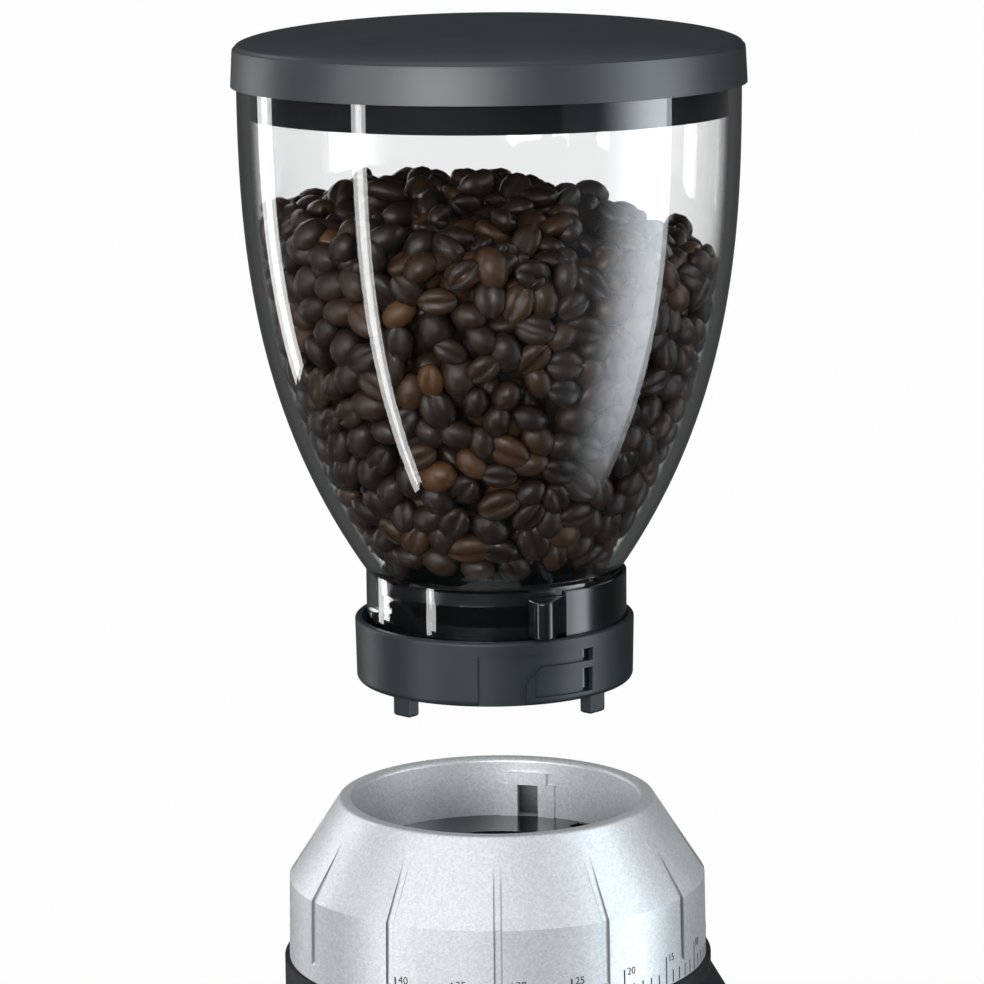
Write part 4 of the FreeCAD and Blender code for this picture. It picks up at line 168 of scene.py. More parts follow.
# Finishes
GRAIN_DETAIL = 3.0
GRAIN_ROUGHNESS = 0.6
BROAD_SCALE = 60.0
BROAD_DETAIL = 4.0
PLASTIC_RELIEF = 0.05 * MM
ACRYLIC_CLEAR = (0.984, 0.992, 0.991, 1.0)
# Painted shade: the bowl's wall turns this dark grey towards its grazing edges.
ACRYLIC_PAINTED_EDGE_SHADE = (0.045, 0.06, 0.065, 1.0)
ACRYLIC_SHADE = (0.93, 0.94, 0.94, 1.0)
ACRYLIC_EDGE_BLEND = 0.5
ACRYLIC_EDGE_START = 0.63
ACRYLIC_EDGE_FULL = 0.88
ACRYLIC_IOR = 1.49
SILVER_METALLIC = 0.48
SPARKLE_SCALE = 1900.0
SPARKLE_RELIEF = 0.5
ROAST_DARK_STOP = 0.55
ROAST_WARM_STOP = 0.86
ROAST_SHINE = 0.24
MOTTLE_SCALE = 380.0
MOTTLE_DETAIL = 4.0

# Camera, matched to the photograph's frame
PICTURE_SIDE = 984
CAMERA_BEARING = 210.0
CAMERA_DISTANCE = 1.063
CAMERA_HEIGHT = 0.5094
CAMERA_PITCH = 10.8
FOCAL_PIXELS = 4034.0
CAMERA_ROLL = -0.6
AXIS_PIXEL = 493.2
SENSOR_WIDTH = 36.0
CLIP_END = 100.0

# Lamps, background and floor
WHITE = (1.0, 1.0, 1.0)
COOL_WHITE = (0.86, 0.93, 1.0)
BACKGROUND_LEVEL = 0.985
NO_BOUNCE = 0.5
FLOOR_RADIUS = 0.62
FLOOR_SIDES = 96
FLOOR_FULL = 0.18
FLOOR_GONE = 0.6
FLOOR_DULL = 0.7


# Small helpers

def around(radius, degrees, height):
    """A point at a bearing about the burr axis."""
    angle = math.radians(degrees)
    return Vector((AXIS_X + radius * math.cos(angle), AXIS_Y + radius * math.sin(angle), height))


def srgb(red, green, blue):
    """A colour given as it looks on screen, 0 to 255, turned into linear light."""
    channels = []
    for value in (red, green, blue):
        share = value / 255
        low = share / 12.92
        high = ((share + 0.055) / 1.055) ** 2.4
        channels.append(low if share <= 0.04045 else high)
    return (*channels, 1.0)


def even_steps(count):
    return [step / count for step in range(count + 1)]


def placed_mesh(name, shape, material):
    """Turns a finished bmesh into an object in the scene."""
    mesh = bpy.data.meshes.new(name)
    shape.to_mesh(mesh)
    shape.free()
    mesh.materials.append(material)
    made = bpy.data.objects.new(name, mesh)
    SCENE.collection.objects.link(made)
    return made


def new_piece(name, shape, material, body):
    """Turns a finished bmesh into a piece that rides on one body."""
    piece = placed_mesh(name, shape, material)
    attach(piece, body)
    return piece


def smooth_faces(shape):
    for face in shape.faces:
        face.smooth = True


# Small node helpers, whose values are sockets or plain numbers

def feed(tree, sockets, values):
    """Links or sets each socket, whichever its value asks for."""
    for socket, value in zip(sockets, values):
        if isinstance(value, bpy.types.NodeSocket):
            tree.links.new(value, socket)
        else:
            socket.default_value = value


def feed_named(tree, node, **values):
    """Feeds sockets by name, with an underscore where a socket's name has a space."""
    names = [name.replace("_", " ") for name in values]
    feed(tree, [node.inputs[name] for name in names], values.values())


def math_node(tree, operation, *values):
    node = tree.nodes.new("ShaderNodeMath")
    node.operation = operation
    feed(tree, node.inputs, values)
    return node.outputs["Value"]


def blend(tree, share, first, second):
    node = tree.nodes.new("ShaderNodeMix")
    node.data_type = "FLOAT"
    feed_named(tree, node, Factor=share, A=first, B=second)
    return node.outputs["Result"]


def colour_blend(tree, share, first, second, manner="MIX"):
    node = tree.nodes.new("ShaderNodeMix")
    node.data_type = "RGBA"
    node.blend_type = manner
    feed_named(tree, node, Factor=share, A=first, B=second)
    return node.outputs["Result"]


def mapped(tree, value, low, high, at_low, at_high):
    """A smooth step from one level to another as a value goes from low to high."""
    node = tree.nodes.new("ShaderNodeMapRange")
    node.interpolation_type = "SMOOTHSTEP"
    feed_named(tree, node, Value=value, From_Min=low, From_Max=high, To_Min=at_low, To_Max=at_high)
    return node.outputs["Result"]


def object_place(tree):
    """Where a point lies on its own piece."""
    return tree.nodes.new("ShaderNodeTexCoord").outputs["Object"]


def split_axes(tree, vector):
    node = tree.nodes.new("ShaderNodeSeparateXYZ")
    tree.links.new(vector, node.inputs["Vector"])
    return node.outputs["X"], node.outputs["Y"], node.outputs["Z"]


def noise(tree, place, scale, detail):
    node = tree.nodes.new("ShaderNodeTexNoise")
    feed_named(tree, node, Vector=place, Scale=scale, Detail=detail)
    return node


def show_either(tree, share, first, second):
    """Shows the first shader, and the second where the share is full."""
    mix = tree.nodes.new("ShaderNodeMixShader")
    tree.links.new(share, mix.inputs["Fac"])
    tree.links.new(first.outputs["BSDF"], mix.inputs[1])
    tree.links.new(second.outputs["BSDF"], mix.inputs[2])
    tree.links.new(mix.outputs["Shader"], tree.nodes["Material Output"].inputs["Surface"])


# Grain shared by the finishes

def group_with(name, inputs, outputs):
    """A node group with number sockets: inputs with their usual values, and outputs."""
    group = bpy.data.node_groups.new(name, "ShaderNodeTree")
    for label, value in inputs.items():
        socket = group.interface.new_socket(label, in_out="INPUT", socket_type="NodeSocketFloat")
        socket.default_value = value
    for label in outputs:
        group.interface.new_socket(label, in_out="OUTPUT", socket_type="NodeSocketFloat")
    return group, group.nodes.new("NodeGroupInput"), group.nodes.new("NodeGroupOutput")


def moulded_grain_group():
    """Fine even grain of a moulded or cast surface, with broad soft unevenness."""
    inputs = {"Grain Scale": 2500.0, "Dull": 0.5, "Dull Spread": 0.1}
    group, given, made = group_with("moulded_grain", inputs, ("Height", "Roughness", "Tone"))
    place = object_place(group)
    grain = noise(group, place, given.outputs["Grain Scale"], GRAIN_DETAIL)
    grain.inputs["Roughness"].default_value = GRAIN_ROUGHNESS
    broad = noise(group, place, BROAD_SCALE, BROAD_DETAIL)
    off_middle = math_node(group, "SUBTRACT", broad.outputs["Fac"], 0.5)
    dull = math_node(group, "MULTIPLY_ADD", off_middle, given.outputs["Dull Spread"], given.outputs["Dull"])
    feed_named(group, made, Height=grain.outputs["Fac"], Roughness=dull, Tone=broad.outputs["Fac"])
    return group


MOULDED_GRAIN = moulded_grain_group()


def grain_node(tree, scale, dull, spread):
    node = tree.nodes.new("ShaderNodeGroup")
    node.node_tree = MOULDED_GRAIN
    feed_named(tree, node, Grain_Scale=scale, Dull=dull, Dull_Spread=spread)
    return node


# Parts of a finish

def finish(name):
    """A new material with its Principled shader, ready for its own nodes."""
    material = bpy.data.materials.new(name)
    material.use_nodes = True
    tree = material.node_tree
    shader = tree.nodes["Principled BSDF"]
    return material, tree, shader


def bump_from(tree, shader, height, strength, distance):
    bump = tree.nodes.new("ShaderNodeBump")
    feed_named(tree, bump, Height=height, Strength=strength, Distance=distance)
    tree.links.new(bump.outputs["Normal"], shader.inputs["Normal"])


def grained_finish(name, dark, light, dull, spread, grain_scale, strength, relief):
    """A finish in two close shades, with a fine grain and an uneven shine."""
    material, tree, shader = finish(name)
    grain = grain_node(tree, grain_scale, dull, spread)
    tone = colour_blend(tree, grain.outputs["Tone"], dark, light)
    tree.links.new(tone, shader.inputs["Base Color"])
    tree.links.new(grain.outputs["Roughness"], shader.inputs["Roughness"])
    bump_from(tree, shader, grain.outputs["Height"], strength, relief)
    return material, shader


def moulded_plastic(name, dark, light, dull, spread, grain_scale, strength, specular=0.5):
    material, shader = grained_finish(
        name, dark, light, dull, spread, grain_scale, strength, PLASTIC_RELIEF)
    shader.inputs["Specular IOR Level"].default_value = specular
    return material


def turned_metal(name, dark, light, dull, grain_scale):
    """Machined metal with a fine grain."""
    material, shader = grained_finish(
        name, dark, light, dull, spread=0.12, grain_scale=grain_scale, strength=0.12, relief=0.03 * MM)
    shader.inputs["Metallic"].default_value = 1.0
    return material


# Plastics, rubber, board and ink

def slate_plastic(name, specular):
    """Satin slate-grey plastic of the lid and the hopper's base ring."""
    return moulded_plastic(
        name, srgb(28, 37, 41), srgb(35, 45, 49),
        dull=0.44, spread=0.08, grain_scale=5200.0, strength=0.25, specular=specular)


def gloss_black_plastic():
    """Polished black plastic of the lever, funnel and small fittings."""
    return moulded_plastic(
        "gloss_black_plastic", srgb(17, 19, 21), srgb(24, 26, 28),
        dull=0.2, spread=0.08, grain_scale=4000.0, strength=0.03)


def housing_black_plastic():
    """Black housing plastic with a fine spark-eroded grain."""
    return moulded_plastic(
        "housing_black_plastic", srgb(24, 26, 29), srgb(30, 32, 35),
        dull=0.55, spread=0.1, grain_scale=3800.0, strength=0.45, specular=0.4)


def seal_rubber():
    """Dull black rubber of the lid's seal and the feet."""
    return moulded_plastic(
        "seal_black_rubber", srgb(15, 18, 20), srgb(21, 24, 26),
        dull=0.55, spread=0.12, grain_scale=3000.0, strength=0.12, specular=0.06)


def gear_plastic():
    """Pale plastic of the gears."""
    return moulded_plastic(
        "gear_pale_plastic", srgb(214, 208, 192), srgb(224, 219, 204),
        dull=0.42, spread=0.1, grain_scale=2500.0, strength=0.1)


def board_green():
    """Green lacquer of the control board."""
    return moulded_plastic(
        "board_green_finish", srgb(22, 74, 46), srgb(30, 92, 58),
        dull=0.35, spread=0.15, grain_scale=900.0, strength=0.1)


def dial_ink():
    """Printed dark ink of the dial, a little worn."""
    return moulded_plastic(
        "dial_ink", srgb(30, 32, 34), srgb(58, 60, 62),
        dull=0.55, spread=0.15, grain_scale=2500.0, strength=0.1, specular=0.3)


def clear_acrylic():
    """Clear wall of the bowl, with painted shade where it turns away, which lets lamp light through to the
    beans.
    """
    material, tree, shader = finish("clear_acrylic")
    # Painted shade: the wall's colour goes dark towards its grazing edges, standing in for the dark rim a
    # clear wall shows against a bright background.
    edge = tree.nodes.new("ShaderNodeLayerWeight")
    edge.inputs["Blend"].default_value = ACRYLIC_EDGE_BLEND
    edge_shade_share = mapped(tree, edge.outputs["Facing"], ACRYLIC_EDGE_START, ACRYLIC_EDGE_FULL, 0.0, 1.0)
    tint = colour_blend(tree, edge_shade_share, ACRYLIC_CLEAR, ACRYLIC_PAINTED_EDGE_SHADE)
    tree.links.new(tint, shader.inputs["Base Color"])
    shader.inputs["Transmission Weight"].default_value = 1.0
    shader.inputs["IOR"].default_value = ACRYLIC_IOR
    grain = grain_node(tree, scale=900.0, dull=0.015, spread=0.03)
    tree.links.new(grain.outputs["Roughness"], shader.inputs["Roughness"])
    through = tree.nodes.new("ShaderNodeBsdfTransparent")
    through.inputs["Color"].default_value = ACRYLIC_SHADE
    path = tree.nodes.new("ShaderNodeLightPath")
    passing = math_node(tree, "MAXIMUM", path.outputs["Is Shadow Ray"], path.outputs["Is Diffuse Ray"])
    show_either(tree, passing, shader, through)
    return material


# Metals

def groove_corner(tree, place):
    """Painted shade in the corners of the collar's grip grooves, from none to one: how far a point lies
    into a corner, fading out towards the grooves' top.
    """
    place_x, place_y, place_z = split_axes(tree, place)
    across = math_node(tree, "SUBTRACT", place_x, AXIS_X)
    back = math_node(tree, "SUBTRACT", place_y, AXIS_Y)
    bearing = math_node(tree, "ARCTAN2", back, across)
    turn_off = math_node(tree, "PINGPONG", bearing, math.pi / GROOVE_COUNT)
    back_squared = math_node(tree, "MULTIPLY", back, back)
    radius = math_node(tree, "SQRT", math_node(tree, "MULTIPLY_ADD", across, across, back_squared))
    off_middle = math_node(tree, "MULTIPLY", turn_off, radius)
    in_corner = mapped(tree, off_middle, GROOVE_UNSHADED_HALF, GROOVE_HALF, 0.0, 1.0)
    inside = math_node(tree, "LESS_THAN", off_middle, GROOVE_HALF)
    outside = math_node(tree, "GREATER_THAN", radius, GROOVE_INNER_RADIUS)
    above_foot = math_node(tree, "GREATER_THAN", place_z, COLLAR_LOW.z + GROOVE_FOOT)
    top = COLLAR_HIGH.z - GROOVE_TOP_DROP
    corner = mapped(tree, place_z, top - GROOVE_FADE, top, in_corner, 0.0)
    for limit in (inside, outside, above_foot):
        corner = math_node(tree, "MULTIPLY", corner, limit)
    return corner


def cast_silver():
    """Fine-blasted silver coat on cast metal, bright in its grain, with painted shade in the groove
    corners.
    """
    material, tree, shader = finish("cast_silver")
    shader.inputs["Metallic"].default_value = SILVER_METALLIC
    place = object_place(tree)
    sparkle = tree.nodes.new("ShaderNodeTexVoronoi")
    feed_named(tree, sparkle, Vector=place, Scale=SPARKLE_SCALE)
    flake = tree.nodes.new("ShaderNodeSeparateColor")
    tree.links.new(sparkle.outputs["Color"], flake.inputs["Color"])
    silver = colour_blend(tree, flake.outputs["Red"], srgb(203, 207, 210), srgb(222, 226, 228))
    # Painted shade: the silver turns a deeper grey in the groove corners, standing in for the shade in the
    # recess.
    silver_with_painted_shade = colour_blend(tree, groove_corner(tree, place), silver, srgb(146, 151, 155))
    tree.links.new(silver_with_painted_shade, shader.inputs["Base Color"])
    grain = grain_node(tree, scale=2600.0, dull=0.45, spread=0.1)
    tree.links.new(grain.outputs["Roughness"], shader.inputs["Roughness"])
    fine = grain.outputs["Height"]
    height = math_node(tree, "MULTIPLY_ADD", flake.outputs["Green"], SPARKLE_RELIEF, fine)
    bump_from(tree, shader, height, strength=0.13, distance=0.05 * MM)
    return material


def burr_steel():
    return turned_metal(
        "burr_steel_finish", srgb(150, 152, 154), srgb(186, 188, 190), dull=0.3, grain_scale=3000.0)


def screw_steel():
    return turned_metal(
        "screw_zinc_finish", srgb(168, 170, 170), srgb(200, 201, 200), dull=0.28, grain_scale=4000.0)


def pinion_brass():
    return turned_metal(
        "pinion_brass_finish", srgb(196, 160, 84), srgb(220, 186, 110), dull=0.3, grain_scale=3000.0)


# Beans

def roasted_bean():
    """Dark roasted bean: each one its own shade, mottled, with a faint oily shine."""
    material, tree, shader = finish("roasted_bean")
    roast = tree.nodes.new("ShaderNodeAttribute")
    roast.attribute_name = "roast"
    shades = tree.nodes.new("ShaderNodeValToRGB")
    stops = shades.color_ramp.elements
    stops[0].color = srgb(33, 25, 21)
    stops[1].color = srgb(134, 92, 50)
    stops.new(ROAST_DARK_STOP).color = srgb(50, 37, 29)
    stops.new(ROAST_WARM_STOP).color = srgb(78, 54, 36)
    tree.links.new(roast.outputs["Fac"], shades.inputs["Fac"])
    mottle = noise(tree, object_place(tree), MOTTLE_SCALE, MOTTLE_DETAIL)
    mottled = colour_blend(
        tree, mottle.outputs["Fac"], shades.outputs["Color"], srgb(150, 140, 132), "MULTIPLY")
    tree.links.new(mottled, shader.inputs["Base Color"])
    grain = grain_node(tree, scale=700.0, dull=0.4, spread=0.2)
    tree.links.new(grain.outputs["Roughness"], shader.inputs["Roughness"])
    shader.inputs["Specular IOR Level"].default_value = ROAST_SHINE
    bump_from(tree, shader, grain.outputs["Height"], strength=0.35, distance=0.25 * MM)
    return material


FINISHES = {
    "dark_plastic": slate_plastic("ring_slate", specular=0.42),
    "black_plastic": gloss_black_plastic(),
    "seal_rubber": seal_rubber(),
    "clear_plastic": clear_acrylic(),
    "cast_metal": cast_silver(),
    "housing_plastic": housing_black_plastic(),
    "burr_steel": burr_steel(),
    "screw_steel": screw_steel(),
    "gear_plastic": gear_plastic(),
    "pinion_brass": pinion_brass(),
    "board_green": board_green(),
}
LID_SLATE = slate_plastic("lid_slate", specular=0.8)
ROASTED_BEAN = roasted_bean()
DIAL_INK_FINISH = dial_ink()


def dress_solids():
    """Each solid takes the finish of its own material slot."""
    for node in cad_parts.values():
        for slot in node.material_slots:
            slot.material = FINISHES[slot.material.name]


# Lid and bowl, turned smooth

def curve_point(poles, share):
    """A point on the cubic curve that four poles give."""
    rest = 1 - share
    weights = (rest ** 3, 3 * rest * rest * share, 3 * rest * share * share, share ** 3)
    return sum((Vector(pole) * weight for pole, weight in zip(poles, weights)), Vector((0.0, 0.0)))


def bowl_curve(inset, share):
    """Radius and height on the bowl's wall, from its foot to its shoulder, set in by a thickness."""
    length = math.hypot(1.0, BOWL_SLOPE)
    low_radius = NECK_RADIUS - inset / length
    low_height = NECK_TOP + inset * BOWL_SLOPE / length
    high_radius = BOWL_RADIUS - inset
    poles = (
        (low_radius, low_height),
        (low_radius + BOWL_SLOPE * BOWL_NECK_PULL, low_height + BOWL_NECK_PULL),
        (high_radius, BOWL_SHOULDER - BOWL_TOP_PULL),
        (high_radius, BOWL_SHOULDER),
    )
    return curve_point(poles, share)


def turned(shape, profile, centre, steps, closed):
    """Spins a profile of radii and heights round an upright axis through a centre."""
    verts = [shape.verts.new((radius, 0.0, height)) for radius, height in profile]
    pairs = list(zip(verts, verts[1:]))
    if closed:
        pairs.append((verts[-1], verts[0]))
    edges = [shape.edges.new(pair) for pair in pairs]
    known = set(shape.verts) - set(verts)
    bmesh.ops.spin(shape, geom=verts + edges, cent=(0, 0, 0), axis=(0, 0, 1), angle=2 * math.pi,
                   steps=steps, use_merge=True)
    made = [vert for vert in shape.verts if vert not in known]
    bmesh.ops.translate(shape, verts=made, vec=centre)


def close_seams(shape, seam):
    """Closes the seams, turns faces outwards and shades them smooth."""
    bmesh.ops.remove_doubles(shape, verts=shape.verts, dist=seam)
    bmesh.ops.recalc_face_normals(shape, faces=shape.faces)
    smooth_faces(shape)


def keep_crisp(shape):
    """Leaves the sharp edges of a smooth shape crisp."""
    for edge in shape.edges:
        edge.smooth = edge.calc_face_angle(0.0) < SHARP_EDGE


def bowl_profile():
    """Outline of the bowl's wall, rim, neck and ledge."""
    outer = [bowl_curve(0.0, share) for share in even_steps(BOWL_CURVE_STEPS)]
    inner = [bowl_curve(BOWL_THICKNESS, share) for share in reversed(even_steps(BOWL_CURVE_STEPS))]
    rim = [
        (BOWL_RADIUS - BOWL_REBATE, BOWL_SHOULDER),
        (BOWL_RADIUS - BOWL_REBATE, BOWL_TOP),
        (BOWL_RADIUS - BOWL_THICKNESS, BOWL_TOP),
    ]
    neck = [
        (NECK_BORE, inner[-1].y),
        (NECK_BORE, NECK_LEDGE),
        (NECK_LEDGE_RADIUS, NECK_LEDGE),
        (NECK_LEDGE_RADIUS, 0.0),
        (NECK_RADIUS, 0.0),
    ]
    return [*outer, *rim, *inner, *neck]


def boss_profile():
    """Outline of a screw boss with its blind hole."""
    return [
        (0.0, BOSS_HOLE_DEPTH),
        (BOSS_HOLE_RADIUS, BOSS_HOLE_DEPTH),
        (BOSS_HOLE_RADIUS, 0.0),
        (BOSS_RADIUS, 0.0),
        (BOSS_RADIUS, BOSS_HEIGHT),
        (0.0, BOSS_HEIGHT),
    ]


def clear_bowl():
    """The flared bowl with its neck, ledge and three screw bosses."""
    bowl = bmesh.new()
    turned(bowl, bowl_profile(), BOWL_FOOT, TURNED_STEPS, closed=True)
    for bearing in BOSS_BEARINGS:
        turned(bowl, boss_profile(), around(BOSS_PITCH, bearing, BOWL_LOW.z), BOSS_STEPS, closed=False)
    close_seams(bowl, TURNED_SEAM)
    keep_crisp(bowl)
    piece = new_piece("clear_bowl", bowl, FINISHES["clear_plastic"], "hopper")
    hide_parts("hopper_bowl")


def lid_profile():
    """Outline of the lid: the hollow under its dome, the plug, the rim and the dome."""
    plug_inner = PLUG_RADIUS - PLUG_WALL
    rim_inner = LID_RADIUS - LID_RIM_WALL
    rim_head = LID_RADIUS - LID_RIM_DRAFT
    hollow_poles = (
        (plug_inner, LID_EDGE - LID_SKIN),
        (plug_inner, LID_SHOULDER - LID_SKIN),
        (LID_CROWN_RADIUS, LID_APEX - LID_SKIN),
        (0.0, LID_APEX - LID_SKIN),
    )
    plug_and_rim = [
        (plug_inner, 0.0),
        (PLUG_RADIUS, 0.0),
        (PLUG_RADIUS, LID_ROOF),
        (rim_inner, LID_ROOF),
        (rim_inner, LID_RIM_FOOT),
        (LID_RADIUS, LID_RIM_FOOT),
        (rim_head, LID_RIM_HEAD),
        (rim_head - LID_RIM_BREAK_IN, LID_RIM_HEAD + LID_RIM_BREAK_UP),
    ]
    dome_poles = (
        (LID_EDGE_RADIUS, LID_EDGE),
        (LID_SHOULDER_RADIUS, LID_SHOULDER),
        (LID_CROWN_RADIUS, LID_APEX),
        (0.0, LID_APEX),
    )
    hollow = [curve_point(hollow_poles, share) for share in reversed(even_steps(DOME_STEPS))]
    dome = [curve_point(dome_poles, share) for share in even_steps(DOME_STEPS)]
    return hollow + plug_and_rim + dome


def domed_lid():
    """The lid's rim, full-shouldered dome and plug."""
    lid = bmesh.new()
    turned(lid, lid_profile(), LID_FOOT, TURNED_STEPS, closed=False)
    close_seams(lid, TURNED_SEAM)
    keep_crisp(lid)
    piece = new_piece("domed_lid", lid, LID_SLATE, "lid")
    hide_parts("lid_cover")


# Coffee beans in the bowl

def wall_point(share):
    """Radius and height on the bowl's inner wall, from its foot to its shoulder."""
    return bowl_curve(BOWL_THICKNESS, share)


def wall_share(height):
    """How far along the inner wall's curve a height lies."""
    low, high = 0.0, 1.0
    for _ in range(WALL_HALVINGS):
        middle = (low + high) / 2
        if wall_point(middle).y < height:
            low = middle
        else:
            high = middle
    return low


def wall_at(height):
    """Radius of the inner wall and its slope, outward per unit of height."""
    share = wall_share(height)
    here = wall_point(share)
    ahead = wall_point(min(1.0, share + WALL_STEP))
    back = wall_point(max(0.0, share - WALL_STEP))
    return here.x, (ahead.x - back.x) / (ahead.y - back.y)


def heap_top(side_x, side_y):
    """Height of the heap's surface: a low crown, tilted across the photograph."""
    reach = math.hypot(side_x, side_y) / WALL_TOP_RADIUS
    across = math.radians(CAMERA_BEARING + 90)
    tilt = side_x * math.cos(across) + side_y * math.sin(across)
    return HEAP_HEIGHT + HEAP_CROWN * (1 - reach * reach) - HEAP_TILT * tilt


def bean_mesh():
    """One bean along X: a round back, and a flat face with a seam."""
    bean = bmesh.new()
    bmesh.ops.create_uvsphere(bean, u_segments=BEAN_SIDES, v_segments=BEAN_RINGS, radius=1.0)
    turn = Matrix.Rotation(math.radians(90), 3, "Y")
    bmesh.ops.rotate(bean, verts=bean.verts, cent=(0, 0, 0), matrix=turn)
    face = [vert for vert in bean.verts if vert.co.z < -BEAN_ON_MIDDLE]
    back = [vert for vert in bean.verts if vert.co.z >= -BEAN_ON_MIDDLE]
    seam = [vert for vert in face if abs(vert.co.y) < BEAN_ON_MIDDLE]
    lips = [vert for vert in face if LIP_NEAR < abs(vert.co.y / vert.co.z) < LIP_FAR]
    half = (BEAN_LENGTH / 2, BEAN_WIDTH / 2)
    bmesh.ops.scale(bean, vec=(*half, BEAN_FACE), verts=face)
    bmesh.ops.scale(bean, vec=(*half, BEAN_BACK), verts=back)
    bmesh.ops.scale(bean, vec=(1.0, LIP_NARROWING, LIP_SWELL), verts=lips)
    bmesh.ops.translate(bean, vec=(0, 0, BEAN_SEAM), verts=seam)
    smooth_faces(bean)
    mesh = bpy.data.meshes.new("bean")
    bean.to_mesh(mesh)
    bean.free()
    return mesh


class SpacedPoints:
    """Points kept at least a spacing apart, looked up by grid cell."""

    def __init__(self, spacing):
        self.spacing = spacing
        self.cells = {}

    def cell(self, point):
        return tuple(math.floor(value / self.spacing) for value in point)

    def room_for(self, point):
        x, y, z = self.cell(point)
        for step_x in (-1, 0, 1):
            for step_y in (-1, 0, 1):
                for step_z in (-1, 0, 1):
                    for other in self.cells.get((x + step_x, y + step_y, z + step_z), ()):
                        if (other - point).length < self.spacing:
                            return False
        return True

    def add(self, point):
        self.cells.setdefault(self.cell(point), []).append(point)


def bean_size(draw):
    return 1 + draw.uniform(-BEAN_SIZE_SPREAD, BEAN_SIZE_SPREAD)


def bean_turn(draw, normal, tilt):
    """A bean's turn: its back or its face towards the normal, then spun and tipped."""
    facing = normal if draw.random() < BACK_OUT_SHARE else -normal
    steady = facing.to_track_quat("Z", "X").to_matrix()
    spin = Matrix.Rotation(draw.uniform(0, 2 * math.pi), 3, "Z")
    tip = Matrix.Rotation(math.radians(draw.gauss(0, tilt)), 3, "X")
    roll = Matrix.Rotation(math.radians(draw.gauss(0, tilt)), 3, "Y")
    return steady @ spin @ tip @ roll


def bean_depth(turn, normal, size):
    """How far a turned bean reaches from its middle along a normal."""
    local = turn.transposed() @ normal
    rise = BEAN_BACK if local.z > 0 else BEAN_FACE
    parts = (local.x * BEAN_LENGTH / 2, local.y * BEAN_WIDTH / 2, local.z * rise)
    return size * math.sqrt(sum(part * part for part in parts))


def wall_beans(draw, inset, spacing, tries, tilt):
    """Beans that lie against the bowl's wall, or a layer further in."""
    placed = []
    points = SpacedPoints(spacing)
    for _ in range(tries):
        bearing = draw.uniform(0, 2 * math.pi)
        height = draw.uniform(HEAP_FOOT, HEAP_HEIGHT + HEAP_CROWN)
        radius, slope = wall_at(height)
        if draw.random() > radius / WALL_TOP_RADIUS:
            continue
        outward = Vector((math.cos(bearing), math.sin(bearing), 0.0))
        normal = (outward - Vector((0, 0, slope))).normalized()
        wall = outward * radius + Vector((0, 0, height))
        size = bean_size(draw)
        turn = bean_turn(draw, normal, tilt)
        middle = wall - normal * (bean_depth(turn, normal, size) + BEAN_GAP + inset)
        if middle.z > heap_top(middle.x, middle.y) or not points.room_for(middle):
            continue
        points.add(middle)
        placed.append((middle, turn, size))
    return placed


def top_beans(draw, sink, spacing, tries, tilt):
    """Beans that lie on the heap's surface, or sunk below it."""
    placed = []
    points = SpacedPoints(spacing)
    for _ in range(tries):
        side_x = draw.uniform(-WALL_TOP_RADIUS, WALL_TOP_RADIUS)
        side_y = draw.uniform(-WALL_TOP_RADIUS, WALL_TOP_RADIUS)
        height = heap_top(side_x, side_y) - sink + draw.uniform(-HEAP_UNEVEN_MM, HEAP_UNEVEN_MM) * MM
        size = bean_size(draw)
        turn = bean_turn(draw, Vector((0, 0, 1)), tilt)
        outward = Vector((side_x, side_y, 0.0))
        reach = outward.length
        if reach < HEAP_MIDDLE:
            continue
        radius, _slope = wall_at(height)
        room = radius - bean_depth(turn, outward.normalized(), size) - BEAN_GAP
        middle = Vector((side_x, side_y, height))
        if reach > room or not points.room_for(middle):
            continue
        points.add(middle)
        placed.append((middle, turn, size))
    return placed


def set_roasts(piece, roasts):
    """Gives each point of a piece the roast that its finish reads."""
    piece.data.attributes.new("roast", "FLOAT", "POINT").data.foreach_set("value", roasts)


def bean_piece(name, placed, template, draw):
    """Joins placed beans into one piece, each with its own roast."""
    heap = bmesh.new()
    roasts = []
    for middle, turn, size in placed:
        bean = template.copy()
        stretch = Matrix.Diagonal((size, size * draw.uniform(BEAN_NARROWEST, BEAN_BROADEST), size))
        bean.transform(Matrix.Translation(BOWL_FOOT + middle) @ (turn @ stretch).to_4x4())
        heap.from_mesh(bean)
        bpy.data.meshes.remove(bean)
        roasts += [draw.betavariate(ROAST_LIGHT_PULL, ROAST_DARK_PULL)] * len(template.vertices)
    piece = new_piece(name, heap, ROASTED_BEAN, "hopper")
    set_roasts(piece, roasts)


def heap_core(inset, sink):
    """Middle of the heap behind the beans that show, in the darkest roast as painted shade for the shaded
    beans deep inside.
    """
    rise = HEAP_HEIGHT - sink - HEAP_FOOT
    heights = [HEAP_FOOT + rise * ring / CORE_RINGS for ring in range(CORE_RINGS + 1)]
    wall = [(wall_at(height)[0] - inset, height) for height in heights]
    core = bmesh.new()
    turned(core, [(0.0, heights[0]), *wall, (0.0, heights[-1])], BOWL_FOOT, CORE_SIDES, closed=False)
    close_seams(core, CORE_SEAM)
    piece = new_piece("heap_core", core, ROASTED_BEAN, "hopper")
    set_roasts(piece, [CORE_SHADE_ROAST] * len(piece.data.vertices))


